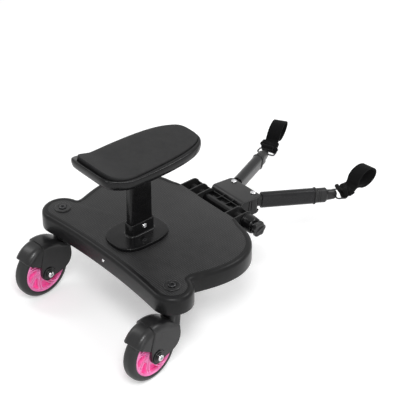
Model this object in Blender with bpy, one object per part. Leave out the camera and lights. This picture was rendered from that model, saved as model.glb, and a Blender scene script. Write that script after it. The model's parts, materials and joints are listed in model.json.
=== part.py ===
"""Stroller ride-on seat: a two-wheeled board with a saddle, hooked behind a pushchair by two strapped arms.

Units are metres, Z is up, +Y points to the pushchair and the model is as wide on +X as on -X.
Each piece is one object with its own material. Empties stand on the joint axes and carry
the pieces that move with them. Run it with: blender --background --python part.py
"""

from math import acos, asin, atan2, cos, hypot, pi, radians, sin, sqrt, tau

import bmesh
import bpy
from mathutils import Matrix, Vector

# General clearances and resolutions
GAP = 0.0003                # between faces that touch on the real object
RUNNING = 0.0004            # round anything that turns or slides
PIN_CLEARANCE = 0.0003      # between a pin and its bore
CUT_OVER = 0.002            # how far a cutter runs past the face it opens
BOLT_END_SHY = 0.001        # a bolt ends this much inside its nut's outer face
NUT_END_WALL = 0.0006       # what closes a nut's outer face
HEAD_CHAMFER_SHARE = 0.12   # chamfer of a screw head, as a share of its radius
SOCKET_DEPTH_SHARE = 0.6    # depth of the hexagon, as a share of the head's height
SMOOTH_ANGLE = radians(35)
FLATNESS = 1e-7

# Wheels
WHEEL_RADIUS = 0.0535
TYRE_WIDTH = 0.0258
TREAD_FLAT = 0.009          # flat band in the middle of the rounded tread
RIM_RADIUS = 0.0415
RIM_WIDTH = 0.0256
RIM_CHAMFER = 0.0012
TREAD_TURNS = (28, 52, 75)  # degrees round the tread's shoulder
TYRE_SIDE_HEIGHT = 0.003
TYRE_BASE_INSET = 0.0006
WINDOW_COUNT = 6
WINDOW_INNER = 0.0165
WINDOW_OUTER = 0.0355
WINDOW_DEPTH = 0.0085
WINDOW_SWIRL = radians(14)
WINDOW_SWIRL_POWER = 1.4    # the swirl grows faster towards the rim
WINDOW_HALF_INNER = radians(12)
WINDOW_HALF_OUTER = radians(18)
SLOT_HALF = radians(2.8)    # the thin slots between the windows
SLOT_INNER = 0.0195
SLOT_OUTER = 0.0342
BEARING_RADIUS = 0.011
BEARING_WIDTH = 0.007
BEARING_BORE = 0.0043
BEARING_SHOULDER = 0.002    # the rim's web stops a bearing by this much
AXLE_RADIUS = 0.004
AXLE_HEAD_RADIUS = 0.0057
AXLE_HEAD_HEIGHT = 0.0042
AXLE_WASHER_RADIUS = 0.0085
AXLE_WASHER_THICKNESS = 0.001
AXLE_NUT_RADIUS = 0.0072
AXLE_NUT_HEIGHT = 0.006

# Caster forks
TRAIL = 0.0560              # axle behind the kingpin
SWIVEL = {"left": radians(3), "right": radians(6)}
FORK_HALF_WIDTH = 0.0218
FORK_INSIDE_HALF = 0.0163
FORK_EDGE_RADIUS = 0.0125
FENDER_CLEARANCE = 0.0030
FENDER_WALL = 0.0030
CROWN_STEP = 0.0024         # the crown stands this much above the fender behind it
FENDER_INSET = 0.0012       # the fender side lies this much inside the cheek
FENDER_END_ANGLE = radians(42)
FENDER_TIP_DROP = 0.0045    # the fender's rear edge turns in by this much
FENDER_TIP_TURN = radians(4)
CROWN_END_ANGLE = radians(83)
CROWN_START_ANGLE = radians(124)
CHEEK_FRONT = 0.003         # front edge of a cheek behind the kingpin
CHEEK_FRONT_BULGE = 0.008
CHEEK_REAR = 0.0150         # rear edge of a cheek behind the axle
CHEEK_TOP = (-0.001, 0.034) # points of the front edge: from the kingpin or the front edge, above the axle
CHEEK_KNEE = (0.0, 0.022)
CHEEK_CALF = (0.0, 0.006)
CHEEK_ANKLE = (-0.010, -0.003)
CHEEK_SHIN = (-0.024, -0.0065)
CHEEK_REAR_RISE = 0.020
FENDER_INNER_RISE = 0.0300  # the fender's underside above the axle, inside and at the rear edge
FENDER_REAR_RISE = 0.0220
BOSS_RADIUS = 0.0144
BOSS_ARC = (radians(-52), radians(-176))
BOSS_PAD_RADIUS = 0.0118
BOSS_PAD_HEIGHT = 0.0018
BOSS_GROOVE = 0.0014        # depth of the groove round a pad
BOSS_GROOVE_WIDTH = 0.0016
BOSS_SINK = 0.003           # how far a pad runs into its cheek
INNER_BOSS_WALL = 0.0025
NECK_RADIUS = 0.0145
NECK_LOWER_RADIUS = 0.0125
NECK_BOTTOM = 0.074
NECK_TAPER = 0.010          # height over which the neck's buried end widens
NECK_FLARE = 0.006          # height of its upper cylinder
NECK_END_SHARE = 0.6
SWIVEL_WASHER_THICKNESS = 0.0025
KINGPIN_X = 0.150
KINGPIN_RADIUS = 0.004
KINGPIN_HEAD_RADIUS = 0.0065
KINGPIN_HEAD_HEIGHT = 0.0030
KINGPIN_END = 0.086
CAP_RADIUS = 0.0145
CAP_HEIGHT = 0.0023
CAP_RECESS_RADIUS = 0.0082
CAP_RECESS_SHARE = 0.6      # depth of the recess, as a share of the cap's height
CAP_EDGE_WIDTH = 0.0014
CAP_EDGE_HEIGHT = 0.0008
SOCKET_RADIUS = 0.0024

# Deck
DECK_TOP = 0.1565
SKIRT_HEIGHT = 0.0325
DECK_EDGE_RADIUS = 0.0075
FRONT_EDGE_SHARE = 0.2      # the straight front edge is only this much of the edge radius
FRONT_EDGE_BLEND = 0.022
FRONT_EDGE_REACH = 0.020    # only the outline this near the front gets the smaller radius
DECK_SKIN = 0.0035
DECK_WALL = 0.0028
LOBE_RADIUS = 0.0365
REAR_Y = -0.0275
NOTCH_X = 0.1555
NOTCH_Y = 0.041
BULGE_HALF_WIDTH = 0.1716
BULGE_WIDE_Y = 0.120
BULGE_CURVE = (0.25, 0.22, 0.44)    # shares of the width and length that bend the side
CORNER_CURVE = (0.48, 0.725)        # the same for the front corner
FRONT_Y = 0.2068
FRONT_FLAT_HALF = 0.0725
RIB_THICKNESS = 0.0022
RIB_LIFT = 0.003            # lower edge of the ribs above the skirt's edge
RIBS_ACROSS = (0.000, 0.055, 0.110, 0.160)
RIBS_ALONG = (-0.100, -0.050, 0.000, 0.050, 0.100)
KINGPIN_BOSS_RADIUS = 0.0155
WALL_HOLE_X = -0.0567
WALL_HOLE_DROP = 0.0160     # below the deck's top
WALL_HOLE_RADIUS = 0.0032

# Hinge between deck and hub
HINGE_REACH = 0.0282        # axis in front of the deck's front edge
HINGE_DROP = 0.0175         # and below its top
HINGE_PIN_RADIUS = 0.004
EAR_DROP = 0.001            # top of the ears below the deck's top
EAR_REACH = 0.0170          # front of the ears beyond the axis
EAR_NOSE_RADIUS = 0.0157
EAR_MOUTH_FRONT = radians(20) # how far up the nose the front wall of a pocket goes
EAR_INNER_LEFT = -0.0265
EAR_INNER_RIGHT = 0.0470
EAR_WALL = 0.0024
EAR_MID_WALL = -0.0480
EAR_POCKET_DEPTH = 0.0265
EAR_POCKET_START = 0.0016
EAR_BOSS_RADIUS = 0.0068
BARREL_RADIUS = 0.0158
BARREL_END_RADIUS = 0.0148
BARREL_LENGTH = 0.0240
BARREL_CHAMFER = 0.001
BARREL_END_CHAMFER = 0.0015
BARREL_GROOVE = 0.0012      # depth of the groove
BARREL_GROOVE_START = 0.0028
BARREL_GROOVE_SLOPE = 0.0004
BARREL_GROOVE_WIDTH = 0.0012
HINGE_HEAD_RADIUS = 0.0068
HINGE_HEAD_HEIGHT = 0.0034
HINGE_HEAD_CHAMFER = 0.001
HINGE_WASHER_RADIUS = 0.0085
HINGE_WASHER_THICKNESS = 0.0012
KNOB_RADIUS = 0.0138
KNOB_LOBE = 0.0014
KNOB_LOBES = 6
KNOB_LENGTH = 0.0120
KNOB_BORE_SHARE = 0.7       # depth of its bore
KNOB_PROFILE = ((0.62, 0.0), (0.72, 0.17), (0.97, 0.28), (1.0, 0.42), (1.0, 0.75), (0.94, 0.90),
                (0.80, 1.0))        # share of the radius, share of the length

# Hub, in its own frame: origin on the hinge, Y forward along the arms
HUB_PITCH = radians(-6)
HUB_HALF_WIDTH = 0.0390
HUB_REAR = 0.0183
HUB_BOTTOM = -0.0215
HUB_FLOOR = 0.0040
HUB_NOSE_BACK = 0.0015      # the half-round front is centred this far behind the arm pivots
HUB_HEEL = ((0.0, 0.006), (0.003, 0.001), (0.008, 0.0))     # from the rear edge, above the bottom
CAP_TOP = 0.0138
CAP_THICKNESS = 0.0026
CAP_FRONT = 0.0668
CAP_ROLL_RADIUS = 0.0075
CAP_FRONT_CHAMFER = 0.0014
KNUCKLE_RADIUS = 0.0150
KNUCKLE_TOP = 0.0110
CELL_DEPTH = 0.0045
CELL_COUNT = 3
CELL_WALL = 0.0016
CELL_REAR = -0.0055
CELL_FRONT = 0.0085
GUSSET_RISE = 0.0022
GUSSET_GAP = 0.0010         # between a gusset and the cap's rolled edge
WEB_BOTTOM = -0.0085        # the web joins the knuckle to the hub box
WEB_TOP = 0.0045
WEB_SINK = 0.004
PIVOT_X = 0.0254
PIVOT_Y = 0.0600
MOUTH_REACH = 0.0300
SIDE_WALL = 0.0028
SIDE_WALL_END = 0.0660
HUB_CORNER_RADIUS = 0.0090  # front corners of the hub seen from above
SIDE_SLOT_WIDTH = 0.0016
SIDE_SLOT_HEIGHT = 0.0200
SIDE_SLOT_DEPTH = 0.0014
SIDE_SLOTS = (0.0395, 0.0455)
CAP_SCREW_RADIUS = 0.003
CAP_SCREW_HEAD_RADIUS = 0.0052
CAP_SCREW_HEAD_HEIGHT = 0.0024
CAP_SCREW_FLOOR = 0.0008    # what closes the screw's hole below

# Arms, in their own frames: origin on the swing pin, Y along the arm
ARM_SPLAY = radians(25)
ARM_AXIS_Z = -0.0015
ARM_KNUCKLE_RADIUS = 0.0100
ARM_NECK_WIDTH = 0.0120
ARM_NECK_SHY = 0.0005       # the neck keeps this much inside the knuckle's faces
ARM_NECK_START = 0.004
ARM_TUBE_START = 0.0160
ARM_TUBE_WIDTH = 0.0190
ARM_TUBE_HEIGHT = 0.0310
ARM_TUBE_WALL = 0.0015
ARM_LENGTH = 0.1180         # swing pin to the tube's open end
ARM_PLUG_LENGTH = 0.0230
PLUG_SHOULDER = (0.002, 0.004)      # the plug's lead-in is narrower and lower by this much
PLUG_SHOULDER_BACK = 0.002
PLUG_LEAD = 0.001
COLLAR_LIP = 0.0014
COLLAR_LENGTH = 0.0032
COLLAR_SLEEVE = 0.0180
COLLAR_EDGE_SHARE = 0.6     # of the lip, where the collar's rounded edge starts
INNER_TUBE_WALL = 0.0013
COLLAR_WALL = 0.0011
INNER_TUBE_START = 0.0450
END_CAP_WIDTH = 0.0176
END_CAP_HEIGHT = 0.0290
END_CAP_LENGTH = 0.0215
END_CAP_GROOVES = (0.0035, 0.0070)
END_CAP_GROOVE_WIDTH = 0.0012
END_CAP_GROOVE_DEPTH = 0.0006
END_CAP_CHAMFER = 0.0022
TIP_WIDTH = 0.0150
TIP_HEIGHT = 0.0210
TIP_LENGTH = 0.0200
TIP_ROOT = (0.001, 0.003, 0.002)    # how much wider, taller and how long its root is
TIP_PROFILE = ((0.0060, 0.89, 0.89), (0.0018, 0.78, 0.7254), (0.0, 0.624, 0.546))   # from the end, shares
SPIGOT_LENGTH = 0.0120

# Strap ring and strap loop, in the ring's frame: origin on the ring's inner bar
RING_WIRE = 0.0014
RING_HALF_WIDTH = 0.0168
RING_LENGTH = 0.0180
RING_CORNER = 0.0035
RING_HOLE_FROM_TIP = 0.0040
STRAP_WIDTH = 0.0254
STRAP_THICKNESS = 0.0028
LOOP_RADIUS = 0.0202
LOOP_DISTANCE = 0.0455      # outer bar to the middle of the loop
LOOP_RISE = radians(35)
STRAP_FOLD_LENGTH = 0.0150
STRAP_FOLD_RISE = radians(132)
LOOP_TWIST = {"left": radians(1), "right": radians(15)}
TWIST_LENGTH = 0.0125
STRAP_FLARE = 0.0085        # half-width of the neck where it opens into the loop

# Seat flange and post
FLANGE_Y = 0.048            # origin of everything from here on, which stands on the deck
FLANGE_HALF_WIDTH = 0.040
FLANGE_HALF_LENGTH = 0.053
FLANGE_SQUARENESS = 2.8
FLANGE_THICKNESS = 0.0048
FLANGE_EDGE_RADIUS = 0.0018
FLANGE_FILLET = 0.0030
COLLAR_HEIGHT = 0.0311      # collar's top above the deck
COLLAR_THICKNESS = 0.0028
POST_WIDTH = 0.0170
POST_CORNER = 0.0052
POST_FRONT = 0.0293
POST_REAR_TOP = -0.0150
POST_REAR_FOOT = -0.0180
POST_WALL = 0.0026
FLANGE_FLOOR = 0.0067       # the post's foot above the deck
POST_LENGTH = 0.1428
POST_ENTRY = 0.0076         # how far the post runs into the seat shell
POST_CAP = 0.0180           # solid length at the post's top, which takes the seat screws
COLLAR_BOLT_Y = 0.0070
COLLAR_BOLT_DROP = 0.0086   # below the collar's top
COLLAR_BOLT_RADIUS = 0.0025
COLLAR_BOLT_HEAD_RADIUS = 0.0046
COLLAR_BOLT_HEAD_HEIGHT = 0.0026
FLANGE_SCREW_X = 0.0270
FLANGE_SCREW_SPAN = 0.0340
FLANGE_SCREW_RADIUS = 0.0020
FLANGE_SCREW_HEAD_RADIUS = 0.0040
FLANGE_SCREW_HEAD_HEIGHT = 0.0024
FLANGE_SCREW_CHAMFER = 0.0008
FLANGE_SCREW_BITE = 0.0030

# Seat
SEAT_HALF_WIDTH = 0.0607
SEAT_TAIL = -0.1000
SEAT_NOSE = 0.1244
SEAT_WIDE_Y = -0.0180
SEAT_TAIL_SQUARENESS = 9.0
SEAT_NOSE_SQUARENESS = 3.2
SEAT_TAIL_TAPER = 0.15
SEAT_NOSE_TAPER = 0.03
RECESS_HALF_WIDTH = 0.0527
RECESS_TAIL = -0.0913
RECESS_NOSE = 0.1219
RECESS_TAIL_SQUARENESS = 5.9
RECESS_NOSE_SQUARENESS = 3.4
RECESS_TAIL_TAPER = 0.04
RECESS_NOSE_TAPER = 0.10
SEAT_DEPTH = 0.0190
SEAT_RECESS = 0.0030
RECESS_LIP = 0.0006
TAIL_RISE = 0.0170
TAIL_RISE_START = -0.0396
TAIL_RISE_POWER = 1.7
PAD_GAP = 0.0006
PAD_EDGE_HEIGHT = 0.0065
PAD_TAIL_LIFT = 0.0048      # the pad is this much thicker at its upturned tail
PAD_CROWN = 0.0020
PAD_EDGE_ROUND = 0.0012
PAD_PROFILE = ((0.006, 0.42), (0.016, 0.78), (0.030, 0.96))     # margin, share of the crown
SEAT_SCREW_SPACING = 0.0240
SEAT_SCREW_RADIUS = 0.0022
SEAT_SCREW_HEAD_RADIUS = 0.0045
SEAT_SCREW_HEAD_HEIGHT = 0.0022
SEAT_SCREW_LENGTH = 0.0200
RIM_PROFILE = ((0.10, 0.0), (0.42, 0.0007), (0.78, 0.0031))     # share of the way outwards, drop
SHELL_PROFILE = ((0.0, 0.42), (0.0006, 0.66), (0.0030, 0.87), (0.0090, 1.0))  # margin, share of the depth

# Worked-out places
SKIRT_BOTTOM = DECK_TOP - SKIRT_HEIGHT
WALL_HOLE_Z = DECK_TOP - WALL_HOLE_DROP
HINGE_Y = FRONT_Y + HINGE_REACH
HINGE_Z = DECK_TOP - HINGE_DROP
EAR_TOP = DECK_TOP - EAR_DROP
EAR_FRONT = HINGE_Y + EAR_REACH
EAR_POCKET_FLOOR = EAR_TOP - EAR_POCKET_DEPTH
AXLE_Z = WHEEL_RADIUS
SLOT_RADIUS = WHEEL_RADIUS + FENDER_CLEARANCE
FENDER_RADIUS = SLOT_RADIUS + FENDER_WALL
CROWN_RADIUS = FENDER_RADIUS + CROWN_STEP
NECK_TOP = SKIRT_BOTTOM - SWIVEL_WASHER_THICKNESS - 2 * GAP
COLLAR_TOP = DECK_TOP + COLLAR_HEIGHT
COLLAR_BOLT_Z = COLLAR_TOP - COLLAR_BOLT_DROP
POST_FOOT = DECK_TOP + FLANGE_FLOOR
POST_TOP = POST_FOOT + POST_LENGTH
SEAT_UNDERSIDE = POST_TOP - POST_ENTRY
SEAT_RIM_Z = SEAT_UNDERSIDE + SEAT_DEPTH
RECESS_FLOOR = SEAT_RIM_Z - SEAT_RECESS
TIP_END = ARM_LENGTH + COLLAR_LENGTH + 2 * GAP + END_CAP_LENGTH + TIP_LENGTH
RING_HOLE_Y = TIP_END - RING_HOLE_FROM_TIP
SIDES = {"left": -1, "right": 1}

# Colours
BLACK_PLASTIC = (0.020, 0.020, 0.021)
DECK_GREY = (0.045, 0.046, 0.048)
SATIN_BLACK = (0.010, 0.010, 0.011)
PAD_GREY = (0.038, 0.038, 0.040)
TYRE_GREY = (0.034, 0.037, 0.036)
RIM_PINK = (0.90, 0.10, 0.34)
STEEL = (0.62, 0.62, 0.63)
TUBE_BLACK = (0.050, 0.050, 0.053)
WEBBING = (0.010, 0.010, 0.010)


# Scene and materials
def clear_scene():
    for item in list(bpy.data.objects):
        bpy.data.objects.remove(item, do_unlink=True)


def make_material(name, colour, roughness, metallic=0.0):
    material = bpy.data.materials.new(name)
    material.use_nodes = True
    shader = material.node_tree.nodes["Principled BSDF"]
    shader.inputs["Base Color"].default_value = (*colour, 1.0)
    shader.inputs["Roughness"].default_value = roughness
    shader.inputs["Metallic"].default_value = metallic
    material.diffuse_color = (*colour, 1.0)
    return material


def make_empty(name, parent=None, location=(0, 0, 0), rotation=(0, 0, 0)):
    empty = bpy.data.objects.new(name, None)
    bpy.context.collection.objects.link(empty)
    empty.parent = parent
    empty.location = location
    empty.rotation_euler = rotation
    return empty


# Outlines
def arc(centre, radius, start, end, steps):
    """Points of an arc, both ends included; angles in radians."""
    turns = [start + (end - start) * i / steps for i in range(steps + 1)]
    return [(centre[0] + radius * cos(a), centre[1] + radius * sin(a)) for a in turns]


def cubic(p0, p1, p2, p3, steps):
    """Points of a cubic Bezier curve, the first one left out."""
    points = []
    for i in range(1, steps + 1):
        t = i / steps
        weights = ((1 - t) ** 3, 3 * t * (1 - t) ** 2, 3 * t * t * (1 - t), t ** 3)
        points.append(tuple(sum(w * p[k] for w, p in zip(weights, (p0, p1, p2, p3))) for k in (0, 1)))
    return points


def rounded_rectangle(width, height, corner, centre=(0, 0), steps=3):
    """A rectangle with round corners, counter-clockwise from the lower side of its right edge."""
    half_x = width / 2 - corner
    half_y = height / 2 - corner
    points = []
    for quarter, (sx, sy) in enumerate(((1, -1), (1, 1), (-1, 1), (-1, -1))):
        middle = (centre[0] + sx * half_x, centre[1] + sy * half_y)
        start = (quarter - 1) * pi / 2
        points += arc(middle, corner, start, start + pi / 2, steps)
    return points


def stadium(width, height, steps=6):
    """A tall oval: straight sides and half-round ends, counter-clockwise."""
    radius = width / 2
    rise = height / 2 - radius
    return arc((0, rise), radius, 0, pi, steps) + arc((0, -rise), radius, pi, tau, steps)


def egg(half_width, front, rear, centre_y, nose_power, tail_power, steps=36):
    """A super-ellipse whose front and rear halves have their own length and squareness."""
    points = []
    for i in range(steps):
        angle = tau * (i + 0.5) / steps
        c, s = cos(angle), sin(angle)
        power = nose_power if s > 0 else tail_power
        reach = front if s > 0 else rear
        x = half_width * abs(c) ** (2 / power) * (1 if c > 0 else -1)
        y = centre_y + reach * abs(s) ** (2 / power) * (1 if s > 0 else -1)
        points.append((x, y))
    return points


def inset(points, distances):
    """Move each vertex of a counter-clockwise outline inwards along its mitre."""
    count = len(points)
    moved = []
    for i, point in enumerate(points):
        before = Vector(point) - Vector(points[i - 1])
        after = Vector(points[(i + 1) % count]) - Vector(point)
        n1 = Vector((-before.y, before.x)).normalized()
        n2 = Vector((-after.y, after.x)).normalized()
        mitre = (n1 + n2) / (1 + n1.dot(n2))
        place = Vector(point) + mitre * distances[i]
        moved.append((place.x, place.y))
    return moved


# Solids
def off_plane(face):
    """How far a face's last corner lies from the plane of its first three."""
    a, b, c, d = [v.co for v in face.verts[:4]]
    normal = (b - a).cross(c - a)
    return abs(normal.normalized().dot(d - a))


def new_piece(name, bm):
    """Turn a closed bmesh into an object; quads that aren't flat are split into triangles."""
    bmesh.ops.recalc_face_normals(bm, faces=bm.faces)
    bent = [f for f in bm.faces if len(f.verts) == 4 and off_plane(f) > FLATNESS]
    bmesh.ops.triangulate(bm, faces=bent)
    mesh = bpy.data.meshes.new(name)
    bm.to_mesh(mesh)
    bm.free()
    piece = bpy.data.objects.new(name, mesh)
    bpy.context.collection.objects.link(piece)
    return piece


def loft(name, rings, closed=False):
    """Skin a list of equal-length rings of 3-D points; the end rings are capped, or joined if closed."""
    bm = bmesh.new()
    rows = [[bm.verts.new(p) for p in ring] for ring in rings]
    pairs = list(zip(rows, rows[1:]))
    if closed:
        pairs.append((rows[-1], rows[0]))
    for low, high in pairs:
        for i in range(len(low)):
            j = (i + 1) % len(low)
            bm.faces.new((low[i], low[j], high[j], high[i]))
    if not closed:
        bm.faces.new(rows[0][::-1])
        bm.faces.new(rows[-1])
    return new_piece(name, bm)


def prism(name, points, low, high, axis="Z"):
    """Extrude a plane outline along an axis: (x, y) along Z, (y, z) along X."""
    if axis == "Z":
        rings = [[(a, b, level) for a, b in points] for level in (low, high)]
    else:
        rings = [[(level, a, b) for a, b in points] for level in (low, high)]
    return loft(name, rings)


def turned(name, profile, steps, axis="Z", centre=(0, 0, 0), phase=0.0):
    """Turn a closed profile of (radius, height) round an axis; the profile keeps off the axis."""
    rings = []
    for i in range(steps):
        a = tau * (i + phase) / steps
        if axis == "Z":
            rings.append([Vector(centre) + Vector((r * cos(a), r * sin(a), h)) for r, h in profile])
        elif axis == "X":
            rings.append([Vector(centre) + Vector((h, r * cos(a), r * sin(a))) for r, h in profile])
        else:
            rings.append([Vector(centre) + Vector((r * sin(a), h, r * cos(a))) for r, h in profile])
    return loft(name, rings, closed=True)


def rod(name, levels, steps=20, axis="Z", centre=(0, 0, 0), phase=0.0):
    """A solid round bar from (radius, height) levels, flat at both ends."""
    rings = []
    for radius, level in levels:
        ring = []
        for i in range(steps):
            a = tau * (i + phase) / steps
            if axis == "Z":
                point = Vector((radius * cos(a), radius * sin(a), level))
            elif axis == "X":
                point = Vector((level, radius * cos(a), radius * sin(a)))
            else:
                point = Vector((radius * sin(a), level, radius * cos(a)))
            ring.append(Vector(centre) + point)
        rings.append(ring)
    return loft(name, rings)


def box(name, low, high):
    """An axis-aligned box between two corners."""
    return prism(name, [(low[0], low[1]), (high[0], low[1]), (high[0], high[1]), (low[0], high[1])],
                 low[2], high[2])


def combine(target, tools, operation="DIFFERENCE"):
    """Cut the tools from the target, or join them to it, with exact Booleans; the tools go away."""
    for tool in tools:
        modifier = target.modifiers.new("combine", "BOOLEAN")
        modifier.operation = operation
        modifier.object = tool
        graph = bpy.context.evaluated_depsgraph_get()
        mesh = bpy.data.meshes.new_from_object(target.evaluated_get(graph))
        target.modifiers.clear()
        old = target.data
        target.data = mesh
        bpy.data.meshes.remove(old)
        bpy.data.objects.remove(tool, do_unlink=True)
    return target


def finish(piece, material, parent, location=(0, 0, 0), rotation=(0, 0, 0)):
    """Give a piece its material and shading and hang it in its assembly."""
    piece.data.materials.clear()
    piece.data.materials.append(material)
    piece.data.shade_smooth()
    piece.data.set_sharp_from_angle(angle=SMOOTH_ANGLE)
    piece.parent = parent
    piece.location = location
    piece.rotation_euler = rotation
    return piece


def socket_head(name, head, height, shank, length, axis):
    """A socket-head screw: its head's outer face at `height`, its shank going down to -length."""
    bevel = HEAD_CHAMFER_SHARE * head
    levels = [(shank, -length), (shank, 0), (head, 0), (head, height - bevel), (head - bevel, height)]
    screw = rod(name, levels, steps=12, axis=axis)
    floor = height * (1 - SOCKET_DEPTH_SHARE)
    socket = rod("socket", [(SOCKET_RADIUS, floor), (SOCKET_RADIUS, height + CUT_OVER)], steps=6, axis=axis)
    return combine(screw, [socket])


# Deck
def rear_arc():
    """Centre distance and radius of the shallow arc that touches both lobes and the rear middle."""
    drop = -REAR_Y
    radius = (KINGPIN_X ** 2 + drop ** 2 - LOBE_RADIUS ** 2) / (2 * (LOBE_RADIUS - drop))
    return drop + radius, radius


def deck_outline():
    """The board's outline, counter-clockwise from above."""
    centre_distance, radius = rear_arc()
    touch = atan2(-centre_distance, -KINGPIN_X)
    swing = atan2(KINGPIN_X, centre_distance)
    half = []
    for i in range(1, 5):
        a = swing * (i / 4) * (1 - LOBE_RADIUS / (radius + LOBE_RADIUS))
        half.append((radius * sin(a), -centre_distance + radius * cos(a)))
    lobe_end = acos((NOTCH_X - KINGPIN_X) / LOBE_RADIUS)
    half += arc((KINGPIN_X, 0), LOBE_RADIUS, touch, lobe_end, 11)
    notch = (NOTCH_X, NOTCH_Y)
    wide = (BULGE_HALF_WIDTH, BULGE_WIDE_Y)
    corner = (FRONT_FLAT_HALF, FRONT_Y)
    rise = BULGE_WIDE_Y - NOTCH_Y
    half.append(notch)
    out, up, back = BULGE_CURVE
    half += cubic(notch, (NOTCH_X + out * (BULGE_HALF_WIDTH - NOTCH_X), NOTCH_Y + up * rise),
                  (BULGE_HALF_WIDTH, BULGE_WIDE_Y - back * rise), wide, 4)
    up, out = CORNER_CURVE
    half += cubic(wide, (BULGE_HALF_WIDTH, BULGE_WIDE_Y + up * (FRONT_Y - BULGE_WIDE_Y)),
                  (FRONT_FLAT_HALF + out * (BULGE_HALF_WIDTH - FRONT_FLAT_HALF), FRONT_Y), corner, 8)
    middle = [(0, REAR_Y)]
    return middle + half + [(-x, y) for x, y in reversed(half)]


def edge_weight(point):
    """How much of the full edge radius an outline vertex gets: less along the straight front."""
    if point[1] < FRONT_Y - FRONT_EDGE_REACH:
        return 1.0
    share = (abs(point[0]) - FRONT_FLAT_HALF) / FRONT_EDGE_BLEND
    share = min(1.0, max(0.0, share))
    return FRONT_EDGE_SHARE + (1 - FRONT_EDGE_SHARE) * share * share * (3 - 2 * share)


def ear_outline():
    """Side view of a hinge ear, from the deck's front wall to its rounded nose."""
    root = FRONT_Y - 1.5 * DECK_WALL
    y = EAR_FRONT - EAR_NOSE_RADIUS
    low = arc((y, SKIRT_BOTTOM + EAR_NOSE_RADIUS), EAR_NOSE_RADIUS, -pi / 2, 0, 4)
    high = arc((y, EAR_TOP - EAR_NOSE_RADIUS), EAR_NOSE_RADIUS, 0, pi / 2, 6)
    return [(root, SKIRT_BOTTOM)] + low + high + [(root, EAR_TOP)]


def ear_pocket(low_x, high_x):
    """Cutter for one pocket between two ear walls, open above, with the pin's boss left standing."""
    rear = FRONT_Y + EAR_POCKET_START
    front = EAR_FRONT - EAR_WALL
    lip = EAR_TOP - EAR_NOSE_RADIUS + EAR_NOSE_RADIUS * sin(EAR_MOUTH_FRONT)
    beyond = EAR_FRONT + CUT_OVER
    above = EAR_TOP + CUT_OVER
    outline = [(rear, EAR_POCKET_FLOOR), (front, EAR_POCKET_FLOOR), (front, lip), (beyond, lip),
               (beyond, above), (rear, above)]
    pocket = prism("pocket", outline, low_x, high_x, axis="X")
    boss = rod("boss", [(EAR_BOSS_RADIUS, low_x - CUT_OVER), (EAR_BOSS_RADIUS, high_x + CUT_OVER)],
               axis="X", centre=(0, HINGE_Y, HINGE_Z))
    return combine(pocket, [boss])


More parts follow.
